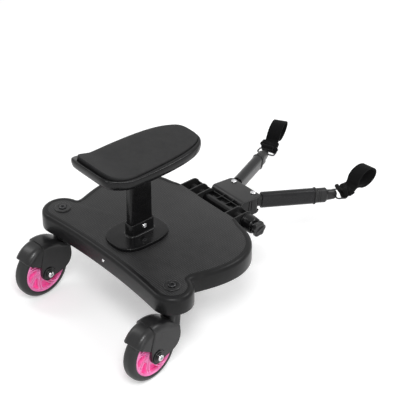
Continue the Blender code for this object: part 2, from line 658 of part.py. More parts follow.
def build_deck_shell(material, root):
    outline = deck_outline()
    weights = [edge_weight(p) for p in outline]
    rings = [[(x, y, SKIRT_BOTTOM) for x, y in outline]]
    steps = 3
    for k in range(steps + 1):
        a = pi / 2 * k / steps
        ring = inset(outline, [DECK_EDGE_RADIUS * w * (1 - cos(a)) for w in weights])
        drop = DECK_EDGE_RADIUS * (1 - sin(a))
        rings.append([(x, y, DECK_TOP - drop * w) for (x, y), w in zip(ring, weights)])
    deck = loft("deck_shell", rings)

    inner = inset(outline, [DECK_WALL] * len(outline))[::2]
    crown = inset(outline, [DECK_WALL + 0.4 * DECK_EDGE_RADIUS * w for w in weights])[::2]
    ceiling = DECK_TOP - DECK_SKIN
    cavity = loft("cavity", [[(x, y, SKIRT_BOTTOM - CUT_OVER) for x, y in inner],
                             [(x, y, ceiling) for x, y in crown]])
    reach = BULGE_HALF_WIDTH + LOBE_RADIUS
    low_z = SKIRT_BOTTOM + RIB_LIFT
    ribs = []
    for y in RIBS_ACROSS:
        ribs.append(box("rib", (-reach, y - RIB_THICKNESS / 2, low_z), (reach, y + RIB_THICKNESS / 2, DECK_TOP)))
    for x in RIBS_ALONG:
        ribs.append(box("rib", (x - RIB_THICKNESS / 2, REAR_Y - LOBE_RADIUS, low_z),
                        (x + RIB_THICKNESS / 2, FRONT_Y + LOBE_RADIUS, DECK_TOP)))
    for side in SIDES.values():
        ribs.append(rod("boss", [(KINGPIN_BOSS_RADIUS, SKIRT_BOTTOM - 2 * CUT_OVER),
                                 (KINGPIN_BOSS_RADIUS, DECK_TOP)], centre=(side * KINGPIN_X, 0, 0)))
    combine(cavity, ribs)
    combine(deck, [cavity])

    ears = []
    for low_x, high_x in ((-FRONT_FLAT_HALF, EAR_INNER_LEFT), (EAR_INNER_RIGHT, FRONT_FLAT_HALF)):
        ears.append(prism("ear", ear_outline(), low_x, high_x, axis="X"))
    combine(deck, ears, "UNION")
    half_wall = EAR_WALL / 2
    pockets = [ear_pocket(-FRONT_FLAT_HALF + EAR_WALL, EAR_MID_WALL - half_wall),
               ear_pocket(EAR_MID_WALL + half_wall, EAR_INNER_LEFT - EAR_WALL),
               ear_pocket(EAR_INNER_RIGHT + EAR_WALL, FRONT_FLAT_HALF - EAR_WALL)]
    bore = HINGE_PIN_RADIUS + PIN_CLEARANCE
    pin_hole = rod("pin_hole", [(bore, -FRONT_FLAT_HALF - CUT_OVER), (bore, FRONT_FLAT_HALF + CUT_OVER)],
                   axis="X", centre=(0, HINGE_Y, HINGE_Z))
    combine(deck, pockets + [pin_hole])

    holes = []
    kingpin_bore = KINGPIN_RADIUS + PIN_CLEARANCE
    for side in SIDES.values():
        holes.append(rod("hole", [(kingpin_bore, SKIRT_BOTTOM - CUT_OVER), (kingpin_bore, DECK_TOP + CUT_OVER)],
                         steps=16, centre=(side * KINGPIN_X, 0, 0)))
    screw_bore = FLANGE_SCREW_RADIUS + PIN_CLEARANCE
    for x, y in flange_screw_places():
        holes.append(rod("hole", [(screw_bore, DECK_TOP - 2 * DECK_SKIN), (screw_bore, DECK_TOP + CUT_OVER)],
                         steps=12, centre=(x, FLANGE_Y + y, 0)))
    holes.append(rod("hole", [(WALL_HOLE_RADIUS, REAR_Y - 3 * CUT_OVER), (WALL_HOLE_RADIUS, REAR_Y + 3 * CUT_OVER)],
                     steps=12, axis="Y", centre=(WALL_HOLE_X, 0, WALL_HOLE_Z)))
    combine(deck, holes)
    return finish(deck, material, root)


def build_caster_bolts(side, sign, materials, root):
    """Cap, kingpin bolt and swivel washer of one caster; they stay with the deck."""
    place = (sign * KINGPIN_X, 0, 0)
    seat = DECK_TOP + GAP
    top = DECK_TOP + CAP_HEIGHT
    bore = KINGPIN_RADIUS + PIN_CLEARANCE
    recess = top - CAP_RECESS_SHARE * CAP_HEIGHT
    cap = turned("caster_cap_" + side, [(bore, seat), (CAP_RADIUS, seat), (CAP_RADIUS, top - CAP_EDGE_HEIGHT),
                                        (CAP_RADIUS - CAP_EDGE_WIDTH, top), (CAP_RECESS_RADIUS, top),
                                        (CAP_RECESS_RADIUS, recess), (bore, recess)], 20)
    finish(cap, materials["plastic"], root, place)
    head_low = recess + GAP
    bolt = socket_head("kingpin_bolt_" + side, KINGPIN_HEAD_RADIUS, KINGPIN_HEAD_HEIGHT, KINGPIN_RADIUS,
                       head_low - KINGPIN_END, "Z")
    finish(bolt, materials["steel"], root, (place[0], 0, head_low))
    washer = turned("swivel_washer_" + side, [(bore, NECK_TOP + GAP), (NECK_RADIUS, NECK_TOP + GAP),
                                              (NECK_RADIUS, SKIRT_BOTTOM - GAP), (bore, SKIRT_BOTTOM - GAP)], 12)
    finish(washer, materials["steel"], root, place)


# Caster fork and wheel
def edge_fall(x, half_width):
    """How far the top has fallen at a given x: a quarter circle towards the sides rounds the top edges."""
    side = max(0.0, abs(x) - (half_width - FORK_EDGE_RADIUS))
    return FORK_EDGE_RADIUS - sqrt(max(0.0, FORK_EDGE_RADIUS ** 2 - side ** 2))


def fork_ring(x, half_width, outer, first, last, lower):
    """One slice of a fork body at a given x: an arc over the wheel, then the lower outline."""
    over = arc((-TRAIL, AXLE_Z), outer - edge_fall(x, half_width), pi - first, pi - last, 5)
    return [(x, y, z) for y, z in over + lower]


def fender_lower(x, half_width):
    """Underside of the fender at a given x, ending in the turned-in rear tip."""
    radius = FENDER_RADIUS - edge_fall(x, half_width) - FENDER_TIP_DROP
    angle = pi - FENDER_END_ANGLE + FENDER_TIP_TURN
    tip = (-TRAIL + radius * cos(angle), AXLE_Z + radius * sin(angle))
    return [(-TRAIL - 0.3 * CHEEK_REAR, AXLE_Z + FENDER_INNER_RISE),
            (-TRAIL - CHEEK_REAR, AXLE_Z + FENDER_REAR_RISE), tip]


def fork_slices(half_width):
    """The x places of the slices: close together where the top edges turn down."""
    flat = half_width - FORK_EDGE_RADIUS
    turns = [flat + FORK_EDGE_RADIUS * sin(radians(a)) for a in (0, 42, 90)]
    return [-t for t in reversed(turns)] + turns


def cheek_lower(x):
    """Front, boss and rear edges of the cheeks, from the crown's front down and back up."""
    bulge = CHEEK_FRONT_BULGE * (1 - (x / FORK_HALF_WIDTH) ** 2)
    front = -CHEEK_FRONT + bulge
    top = (front + CHEEK_TOP[0], AXLE_Z + CHEEK_TOP[1])
    knee = (front + CHEEK_KNEE[0], AXLE_Z + CHEEK_KNEE[1])
    calf = (front + CHEEK_CALF[0], AXLE_Z + CHEEK_CALF[1])
    ankle = (CHEEK_ANKLE[0], AXLE_Z + CHEEK_ANKLE[1])
    shin = (CHEEK_SHIN[0], AXLE_Z + CHEEK_SHIN[1])
    boss = arc((-TRAIL, AXLE_Z), BOSS_RADIUS, *BOSS_ARC, 5)
    rear = (-TRAIL - CHEEK_REAR, AXLE_Z + CHEEK_REAR_RISE)
    return [top, knee] + cubic(knee, calf, ankle, shin, 4) + boss + [rear]


def build_fork(side, materials, caster):
    crown = loft("fork_" + side, [fork_ring(x, FORK_HALF_WIDTH, CROWN_RADIUS, CROWN_END_ANGLE,
                                            CROWN_START_ANGLE, cheek_lower(x))
                                  for x in fork_slices(FORK_HALF_WIDTH)])
    fender_half = FORK_HALF_WIDTH - FENDER_INSET
    fender = loft("fender", [fork_ring(x, fender_half, FENDER_RADIUS, FENDER_END_ANGLE,
                                       CROWN_END_ANGLE + radians(12), fender_lower(x, fender_half))
                             for x in fork_slices(fender_half)])
    neck = rod("neck", [(NECK_LOWER_RADIUS * NECK_END_SHARE, NECK_BOTTOM),
                        (NECK_LOWER_RADIUS, NECK_BOTTOM + NECK_TAPER),
                        (NECK_RADIUS, NECK_TOP - NECK_FLARE), (NECK_RADIUS, NECK_TOP)], steps=18)
    pads = []
    for sign in SIDES.values():
        outer = sign * (FORK_HALF_WIDTH + BOSS_PAD_HEIGHT)
        root = sign * (FORK_HALF_WIDTH - BOSS_SINK)
        pads.append(rod("pad", [(BOSS_PAD_RADIUS, root), (BOSS_PAD_RADIUS, outer)],
                        steps=18, axis="X", centre=(0, -TRAIL, AXLE_Z)))
    combine(crown, [fender, neck], "UNION")
    grooves = []
    for sign in SIDES.values():
        low, high = sorted((sign * (FORK_HALF_WIDTH - BOSS_GROOVE), sign * (FORK_HALF_WIDTH + 2 * CUT_OVER)))
        near = BOSS_PAD_RADIUS - CUT_OVER / 2
        far = BOSS_PAD_RADIUS + BOSS_GROOVE_WIDTH
        grooves.append(turned("groove", [(near, low), (far, low), (far, high), (near, high)], 18, axis="X",
                              centre=(0, -TRAIL, AXLE_Z)))
    combine(crown, grooves)
    combine(crown, pads, "UNION")
    soft = FORK_EDGE_RADIUS - FENDER_WALL
    levels = []
    for a in (90, 42, 0):
        turn = radians(a)
        levels.append((SLOT_RADIUS - soft * (1 - cos(turn)), FORK_INSIDE_HALF - soft * (1 - sin(turn))))
    levels = [(r, -x) for r, x in levels] + [(r, x) for r, x in reversed(levels)]
    slot = rod("slot", levels, steps=24, axis="X", centre=(0, -TRAIL, AXLE_Z))
    combine(crown, [slot])
    inner_bosses = []
    for sign in SIDES.values():
        face = sign * (RIM_WIDTH / 2 + GAP)
        radius = BEARING_BORE + INNER_BOSS_WALL
        inner_bosses.append(rod("boss", [(radius, sign * (FORK_INSIDE_HALF + BOSS_SINK / 3)), (radius, face)],
                                steps=12, axis="X", centre=(0, -TRAIL, AXLE_Z)))
    combine(crown, inner_bosses, "UNION")
    reach = FORK_HALF_WIDTH + BOSS_PAD_HEIGHT + CUT_OVER
    axle_bore = AXLE_RADIUS + PIN_CLEARANCE
    bores = [rod("bore", [(axle_bore, -reach), (axle_bore, reach)], steps=12, axis="X",
                 centre=(0, -TRAIL, AXLE_Z)),
             rod("bore", [(KINGPIN_RADIUS + PIN_CLEARANCE, KINGPIN_END - GAP),
                          (KINGPIN_RADIUS + PIN_CLEARANCE, NECK_TOP + CUT_OVER)], steps=12)]
    combine(crown, bores)
    return finish(crown, materials["fork"], caster)


def build_axle(side, materials, caster):
    """Axle bolt, its washer and its nut; they turn with the fork."""
    place = (0, -TRAIL, AXLE_Z)
    pad = FORK_HALF_WIDTH + BOSS_PAD_HEIGHT
    bore = AXLE_RADIUS + PIN_CLEARANCE
    low = pad + GAP
    high = low + AXLE_WASHER_THICKNESS
    washer = turned("axle_washer_" + side, [(bore, low), (AXLE_WASHER_RADIUS, low),
                                            (AXLE_WASHER_RADIUS, high), (bore, high)], 16, axis="X")
    finish(washer, materials["fork"], caster, place)
    seat = high + GAP
    nut_low = -pad - GAP - AXLE_NUT_HEIGHT
    bolt = socket_head("axle_bolt_" + side, AXLE_HEAD_RADIUS, AXLE_HEAD_HEIGHT, AXLE_RADIUS,
                       seat - nut_low - BOLT_END_SHY, "X")
    finish(bolt, materials["steel"], caster, (seat, -TRAIL, AXLE_Z))
    nut = rod("axle_nut_" + side, [(AXLE_NUT_RADIUS, nut_low), (AXLE_NUT_RADIUS, -pad - GAP)], steps=6, axis="X")
    hole = rod("hole", [(bore, nut_low + NUT_END_WALL), (bore, -pad)], steps=16, axis="X")
    combine(nut, [hole])
    finish(nut, materials["steel"], caster, place)


def swirled(radius, angle):
    """A point of the wheel face; the pattern turns back as it runs outwards."""
    share = (radius - WINDOW_INNER) / (WINDOW_OUTER - WINDOW_INNER)
    a = angle - WINDOW_SWIRL * share ** WINDOW_SWIRL_POWER
    return (radius * cos(a), radius * sin(a))


def window_outline(middle, inner_half, outer_half, inner, outer, along, across):
    """A swirled window between two radii, wider at the rim than at the hub."""
    radii = [inner + (outer - inner) * i / along for i in range(along + 1)]
    halves = [inner_half + (outer_half - inner_half) * i / along for i in range(along + 1)]
    right = [swirled(r, middle + h) for r, h in zip(radii, halves)]
    left = [swirled(r, middle - h) for r, h in zip(radii, halves)]
    rim = [swirled(outer, middle + outer_half * (1 - 2 * i / across)) for i in range(1, across)]
    return right + rim + left[::-1]


def build_wheel(side, materials, wheel):
    half = RIM_WIDTH / 2
    hub_bore = BEARING_RADIUS + GAP
    land = half - BEARING_WIDTH - GAP
    web_bore = BEARING_RADIUS - BEARING_SHOULDER
    lip = half - RIM_CHAMFER
    profile = [(web_bore, -land), (hub_bore, -land), (hub_bore, -half), (RIM_RADIUS - RIM_CHAMFER, -half),
               (RIM_RADIUS, -lip), (RIM_RADIUS, lip), (RIM_RADIUS - RIM_CHAMFER, half), (hub_bore, half),
               (hub_bore, land), (web_bore, land)]
    rim = turned("rim_" + side, profile, 28, axis="X")
    cutters = []
    for sign in SIDES.values():
        low, high = sorted((sign * (half - WINDOW_DEPTH), sign * (half + CUT_OVER)))
        for k in range(WINDOW_COUNT):
            pitch = tau * k / WINDOW_COUNT
            big = window_outline(pitch, WINDOW_HALF_INNER, WINDOW_HALF_OUTER, WINDOW_INNER, WINDOW_OUTER, 3, 2)
            cutters.append(prism("window", big, low, high, axis="X"))
            thin = window_outline(pitch + pi / WINDOW_COUNT, SLOT_HALF, SLOT_HALF, SLOT_INNER, SLOT_OUTER, 2, 1)
            cutters.append(prism("slot", thin, low, high, axis="X"))
    combine(rim, cutters)
    finish(rim, materials["pink"], wheel)

    seat = RIM_RADIUS + GAP
    flat = TREAD_FLAT / 2
    reach = TYRE_WIDTH / 2
    side_top = seat + TYRE_SIDE_HEIGHT
    crown = [(WHEEL_RADIUS, flat)]
    for a in TREAD_TURNS:
        turn = radians(a)
        crown.append((side_top + (WHEEL_RADIUS - side_top) * cos(turn), flat + (reach - flat) * sin(turn)))
    crown.append((seat, reach - TYRE_BASE_INSET))
    profile = [(r, -h) for r, h in reversed(crown)] + crown
    tyre = turned("tyre_" + side, profile, 32, axis="X", phase=0.5)
    finish(tyre, materials["tyre"], wheel)

    bore = BEARING_BORE
    for label, sign in (("inner", -1), ("outer", 1)):
        low, high = sorted((sign * (land + GAP), sign * half))
        bearing = turned("wheel_bearing_{}_{}".format(label, side),
                         [(bore, low), (BEARING_RADIUS, low), (BEARING_RADIUS, high), (bore, high)], 12, axis="X")
        finish(bearing, materials["steel"], wheel)


# Seat post and flange
def flange_screw_places():
    return [(sx * FLANGE_SCREW_X, sy * FLANGE_SCREW_SPAN) for sy in (-1, 1) for sx in (-1, 1)]


def post_section(z, grow=0.0):
    """Outline of the post at a height, grown outwards; the rear face leans back going down."""
    share = (POST_TOP - z) / (POST_TOP - COLLAR_TOP)
    rear = POST_REAR_TOP + (POST_REAR_FOOT - POST_REAR_TOP) * min(share, 1.0) - grow
    front = POST_FRONT + grow
    outline = rounded_rectangle(POST_WIDTH + 2 * grow, front - rear, POST_CORNER + grow,
                                (0, (front + rear) / 2))
    return [(x, y, z) for x, y in outline]


def flange_ring(shrink, z):
    """A ring of the flange's rounded-square outline at a height."""
    outline = egg(FLANGE_HALF_WIDTH - shrink, FLANGE_HALF_LENGTH - shrink, FLANGE_HALF_LENGTH - shrink,
                  0, FLANGE_SQUARENESS, FLANGE_SQUARENESS, 28)
    return [(x, y, z) for x, y in outline]


def collar_ring(grow, z):
    """A ring round the post's foot, grown outwards, at a height."""
    return [(x, y, z) for x, y, _ in post_section(POST_FOOT, grow)]


def build_flange(materials, stand):
    low = DECK_TOP + GAP
    top = DECK_TOP + FLANGE_THICKNESS
    edge = FLANGE_EDGE_RADIUS
    flange = loft("seat_flange", [flange_ring(0.4 * edge, low), flange_ring(0, low + 0.4 * edge),
                                  flange_ring(0, top - edge), flange_ring(0.3 * edge, top - 0.3 * edge),
                                  flange_ring(edge, top)])
    wall = COLLAR_THICKNESS
    fillet = FLANGE_FILLET
    collar = loft("collar", [collar_ring(wall + fillet, top - edge), collar_ring(wall + fillet, top),
                             collar_ring(wall + 0.3 * fillet, top + 0.3 * fillet),
                             collar_ring(wall, top + fillet), collar_ring(wall, COLLAR_TOP - 0.4 * edge),
                             collar_ring(wall - 0.4 * edge, COLLAR_TOP)])
    combine(flange, [collar], "UNION")
    combine(flange, [loft("socket", [collar_ring(GAP, POST_FOOT - GAP), collar_ring(GAP, COLLAR_TOP + CUT_OVER)])])
    bore = COLLAR_BOLT_RADIUS + PIN_CLEARANCE
    reach = POST_WIDTH / 2 + wall + CUT_OVER
    cutters = [rod("bore", [(bore, -reach), (bore, reach)], steps=12, axis="X",
                   centre=(0, COLLAR_BOLT_Y, COLLAR_BOLT_Z))]
    pilot = FLANGE_SCREW_RADIUS + PIN_CLEARANCE
    for x, y in flange_screw_places():
        cutters.append(rod("pilot", [(pilot, low - CUT_OVER), (pilot, DECK_TOP + FLANGE_SCREW_BITE + GAP)],
                           steps=12, centre=(x, y, 0)))
    combine(flange, cutters)
    finish(flange, materials["satin"], stand)
    for number, (x, y) in enumerate(flange_screw_places(), 1):
        seat = DECK_TOP - DECK_SKIN - GAP
        screw = rod("flange_screw_{}".format(number),
                    [(FLANGE_SCREW_HEAD_RADIUS - FLANGE_SCREW_CHAMFER, -FLANGE_SCREW_HEAD_HEIGHT),
                     (FLANGE_SCREW_HEAD_RADIUS, -FLANGE_SCREW_HEAD_HEIGHT + FLANGE_SCREW_CHAMFER),
                     (FLANGE_SCREW_HEAD_RADIUS, 0), (FLANGE_SCREW_RADIUS, 0),
                     (FLANGE_SCREW_RADIUS, DECK_SKIN + FLANGE_SCREW_BITE)], steps=8)
        finish(screw, materials["steel"], stand, (x, y, seat))


def build_post(materials, stand):
    levels = (POST_FOOT, COLLAR_TOP, (COLLAR_TOP + POST_TOP) / 2, POST_TOP)
    post = loft("seat_post", [post_section(z) for z in levels])
    hollow_top = POST_TOP - POST_CAP
    hollow_levels = (POST_FOOT - CUT_OVER, COLLAR_TOP, hollow_top)
    hollow = loft("hollow", [post_section(z, -POST_WALL) for z in hollow_levels])
    bore = COLLAR_BOLT_RADIUS + PIN_CLEARANCE
    cross = rod("bore", [(bore, -POST_WIDTH), (bore, POST_WIDTH)], steps=12, axis="X",
                centre=(0, COLLAR_BOLT_Y, COLLAR_BOLT_Z))
    cutters = [hollow, cross]
    pilot = SEAT_SCREW_RADIUS + PIN_CLEARANCE
    for y in seat_screw_places():
        cutters.append(rod("pilot", [(pilot, RECESS_FLOOR - SEAT_SCREW_LENGTH - GAP), (pilot, POST_TOP + CUT_OVER)],
                           steps=12, centre=(0, y, 0)))
    combine(post, cutters)
    finish(post, materials["satin"], stand)

    wall = POST_WIDTH / 2 + COLLAR_THICKNESS
    place = (wall + GAP, COLLAR_BOLT_Y, COLLAR_BOLT_Z)
    nut_height = 2 * COLLAR_BOLT_HEAD_HEIGHT
    bolt = socket_head("collar_bolt", COLLAR_BOLT_HEAD_RADIUS, COLLAR_BOLT_HEAD_HEIGHT, COLLAR_BOLT_RADIUS,
                       2 * (wall + GAP) + nut_height - BOLT_END_SHY, "X")
    finish(bolt, materials["steel"], stand, place)
    nut = rod("collar_nut", [(COLLAR_BOLT_HEAD_RADIUS, -nut_height), (COLLAR_BOLT_HEAD_RADIUS, 0)],
              steps=6, axis="X")
    hole = rod("hole", [(bore, -nut_height + NUT_END_WALL), (bore, CUT_OVER)], steps=12, axis="X")
    combine(nut, [hole])
    finish(nut, materials["steel"], stand, (-wall - GAP, COLLAR_BOLT_Y, COLLAR_BOLT_Z))


# Seat
def seat_screw_places():
    middle = (POST_FRONT + POST_REAR_TOP) / 2
    return (middle - SEAT_SCREW_SPACING / 2, middle + SEAT_SCREW_SPACING / 2)


def seat_bend(y):
    """Height that the seat's long profile adds: its tail turns up."""
    tail = max(0.0, (TAIL_RISE_START - y) / (TAIL_RISE_START - SEAT_TAIL))
    return TAIL_RISE * tail ** TAIL_RISE_POWER


def pad_lift(y):
    """What the pad's tail adds to its thickness."""
    tail = max(0.0, (TAIL_RISE_START - y) / (TAIL_RISE_START - RECESS_TAIL))
    return PAD_TAIL_LIFT * tail * tail


def tapered_egg(half_width, tail, nose, squareness, tapers):
    """An egg outline whose width also tapers towards its tail and its nose."""
    points = []
    for x, y in egg(half_width, nose - SEAT_WIDE_Y, SEAT_WIDE_Y - tail, SEAT_WIDE_Y, *squareness):
        to_tail = max(0.0, (SEAT_WIDE_Y - y) / (SEAT_WIDE_Y - tail))
        to_nose = max(0.0, (y - SEAT_WIDE_Y) / (nose - SEAT_WIDE_Y))
        points.append((x * (1 - tapers[0] * to_tail ** 2) * (1 - tapers[1] * to_nose), y))
    return points


def shell_ring(margin, z):
    """A ring of the shell's outline drawn in by a margin, at a height bent along the seat."""
    outline = tapered_egg(SEAT_HALF_WIDTH - margin, SEAT_TAIL + margin, SEAT_NOSE - margin,
                          (SEAT_NOSE_SQUARENESS, SEAT_TAIL_SQUARENESS), (SEAT_TAIL_TAPER, SEAT_NOSE_TAPER))
    return [(x, y, z + seat_bend(y)) for x, y in outline]


def recess_ring(margin, z, lift=0.0):
    """A ring of the recess's outline drawn in by a margin; lift is the share of the pad's lifted tail."""
    outline = tapered_egg(RECESS_HALF_WIDTH - margin, RECESS_TAIL + margin, RECESS_NOSE - margin,
                          (RECESS_NOSE_SQUARENESS, RECESS_TAIL_SQUARENESS), (RECESS_TAIL_TAPER, RECESS_NOSE_TAPER))
    return [(x, y, z + seat_bend(y) + lift * pad_lift(y)) for x, y in outline]


def between(inner, outer, share, drop):
    """A ring part of the way from the recess to the shell's outline, lowered a little."""
    ring = []
    for near, far in zip(inner, outer):
        x, y = (near[k] + (far[k] - near[k]) * share for k in (0, 1))
        ring.append((x, y, SEAT_RIM_Z - drop + seat_bend(y)))
    return ring


def bent_loft(name, rings):
    """Skin rings whose end caps follow the bend: each cap is a strip of quads across the seat."""
    bm = bmesh.new()
    rows = [[bm.verts.new(p) for p in ring] for ring in rings]
    count = len(rings[0])
    for low, high in zip(rows, rows[1:]):
        for i in range(count):
            j = (i + 1) % count
            bm.faces.new((low[i], low[j], high[j], high[i]))
    quarter = count // 4
    for row in (rows[0], rows[-1]):
        for k in range(-quarter, quarter - 1):
            right, right_next = row[k % count], row[(k + 1) % count]
            left, left_next = row[(2 * quarter - 1 - k) % count], row[(2 * quarter - 2 - k) % count]
            bm.faces.new((right, right_next, left_next, left))
    return new_piece(name, bm)


def build_seat(materials, stand):
    rim = SEAT_RIM_Z
    recess = recess_ring(0, rim)
    edge = shell_ring(0, rim)
    rings = [recess_ring(0, RECESS_FLOOR), recess_ring(0, rim - RECESS_LIP)]
    rings += [between(recess, edge, share, drop) for share, drop in RIM_PROFILE]
    rings += [shell_ring(margin, rim - share * SEAT_DEPTH) for margin, share in SHELL_PROFILE]
    shell = bent_loft("seat_shell", rings)
    sockets = [loft("socket", [post_section(z, GAP) for z in (SEAT_UNDERSIDE - CUT_OVER, POST_TOP + GAP)])]
    pilot = SEAT_SCREW_RADIUS + PIN_CLEARANCE
    head = SEAT_SCREW_HEAD_RADIUS + PIN_CLEARANCE
    head_low = RECESS_FLOOR - SEAT_SCREW_HEAD_HEIGHT - 2 * GAP
    for y in seat_screw_places():
        sockets.append(rod("pilot", [(pilot, POST_TOP - CUT_OVER), (pilot, head_low), (head, head_low),
                                     (head, RECESS_FLOOR + CUT_OVER)], steps=16, centre=(0, y, 0)))
    combine(shell, sockets)
    finish(shell, materials["gloss"], stand)
    for label, y in zip(("rear", "front"), seat_screw_places()):
        reach = SEAT_SCREW_LENGTH - SEAT_SCREW_HEAD_HEIGHT
        screw = rod("seat_screw_" + label, [(SEAT_SCREW_RADIUS, -reach), (SEAT_SCREW_RADIUS, 0),
                                            (SEAT_SCREW_HEAD_RADIUS, 0),
                                            (SEAT_SCREW_HEAD_RADIUS, SEAT_SCREW_HEAD_HEIGHT)], steps=12)
        finish(screw, materials["steel"], stand, (0, y, head_low + GAP))

    base = RECESS_FLOOR + GAP
    top = base + PAD_EDGE_HEIGHT
    edge = PAD_EDGE_ROUND
    rings = [recess_ring(PAD_GAP + edge, base), recess_ring(PAD_GAP, base + edge),
             recess_ring(PAD_GAP, top - edge, 1), recess_ring(PAD_GAP + edge, top, 1)]
    rings += [recess_ring(margin, top + share * PAD_CROWN, 1) for margin, share in PAD_PROFILE]
    pad = bent_loft("seat_pad", rings)
    finish(pad, materials["pad"], stand)


# Hinge parts that stay with the deck
def build_hinge(materials, root):
    place = (0, HINGE_Y, HINGE_Z)
    bore = HINGE_PIN_RADIUS + PIN_CLEARANCE
    start = FRONT_FLAT_HALF + GAP
    end = start + BARREL_LENGTH
    groove = start + BARREL_GROOVE_START
    floor = groove + BARREL_GROOVE_SLOPE
    floor_end = floor + BARREL_GROOVE_WIDTH
    barrel = turned("lock_barrel", [(bore, start), (BARREL_RADIUS - BARREL_CHAMFER, start),
                                    (BARREL_RADIUS, start + BARREL_CHAMFER), (BARREL_RADIUS, groove),
                                    (BARREL_RADIUS - BARREL_GROOVE, floor),
                                    (BARREL_RADIUS - BARREL_GROOVE, floor_end),
                                    (BARREL_RADIUS, floor_end + BARREL_GROOVE_SLOPE),
                                    (BARREL_END_RADIUS, end - BARREL_END_CHAMFER),
                                    (BARREL_END_RADIUS - BARREL_END_CHAMFER, end), (bore, end)], 18, axis="X")
    finish(barrel, materials["satin"], root, place)
    washer_low = end + GAP
    washer_high = washer_low + HINGE_WASHER_THICKNESS
    washer = turned("hinge_washer", [(bore, washer_low), (HINGE_WASHER_RADIUS, washer_low),
                                     (HINGE_WASHER_RADIUS, washer_high), (bore, washer_high)], 12, axis="X")
    finish(washer, materials["steel"], root, place)
    head_seat = -FRONT_FLAT_HALF - GAP
    tail = washer_high + KNOB_BORE_SHARE * KNOB_LENGTH
    head_end = head_seat - HINGE_HEAD_HEIGHT
    axle = rod("hinge_axle", [(HINGE_HEAD_RADIUS - HINGE_HEAD_CHAMFER, head_end),
                              (HINGE_HEAD_RADIUS, head_end + HINGE_HEAD_CHAMFER),
                              (HINGE_HEAD_RADIUS, head_seat), (HINGE_PIN_RADIUS, head_seat),
                              (HINGE_PIN_RADIUS, tail)], steps=16, axis="X")
    finish(axle, materials["steel"], root, place)
    return washer_high


def build_knob(materials, knob, low):
    def star(scale, x):
        ring = []
        for i in range(4 * KNOB_LOBES):
            a = tau * i / (4 * KNOB_LOBES)
            r = scale * (KNOB_RADIUS + KNOB_LOBE * cos(KNOB_LOBES * a))
            ring.append((x, r * cos(a), r * sin(a)))
        return ring
    start = low + GAP
    body = loft("lock_knob", [star(scale, start + share * KNOB_LENGTH) for scale, share in KNOB_PROFILE])
    bore = HINGE_PIN_RADIUS + PIN_CLEARANCE
    hole = rod("hole", [(bore, start - CUT_OVER), (bore, low + KNOB_BORE_SHARE * KNOB_LENGTH + GAP)], axis="X")
    combine(body, [hole])
    finish(body, materials["satin"], knob)


# Hub
def hub_profile(top):
    """Side view of the hub box: flat floor, half-round front, straight rear."""
    radius = (top - HUB_BOTTOM) / 2
    nose = arc((PIVOT_Y - HUB_NOSE_BACK, (top + HUB_BOTTOM) / 2), radius, -pi / 2, pi / 2, 8)
    return [(HUB_REAR + y, HUB_BOTTOM + z) for y, z in HUB_HEEL] + nose


def hub_corner(sign, radius, front, low, high):
    """Cutter that rounds one front corner of the hub, seen from above, between two heights."""
    x, y = HUB_HALF_WIDTH - radius, front - radius
    far_x, far_y = HUB_HALF_WIDTH + CUT_OVER, PIVOT_Y + MOUTH_REACH
    outline = arc((x, y), radius, 0, pi / 2, 5) + [(x, far_y), (far_x, far_y), (far_x, y)]
    return prism("corner", [(sign * px, py) for px, py in outline], low, high)


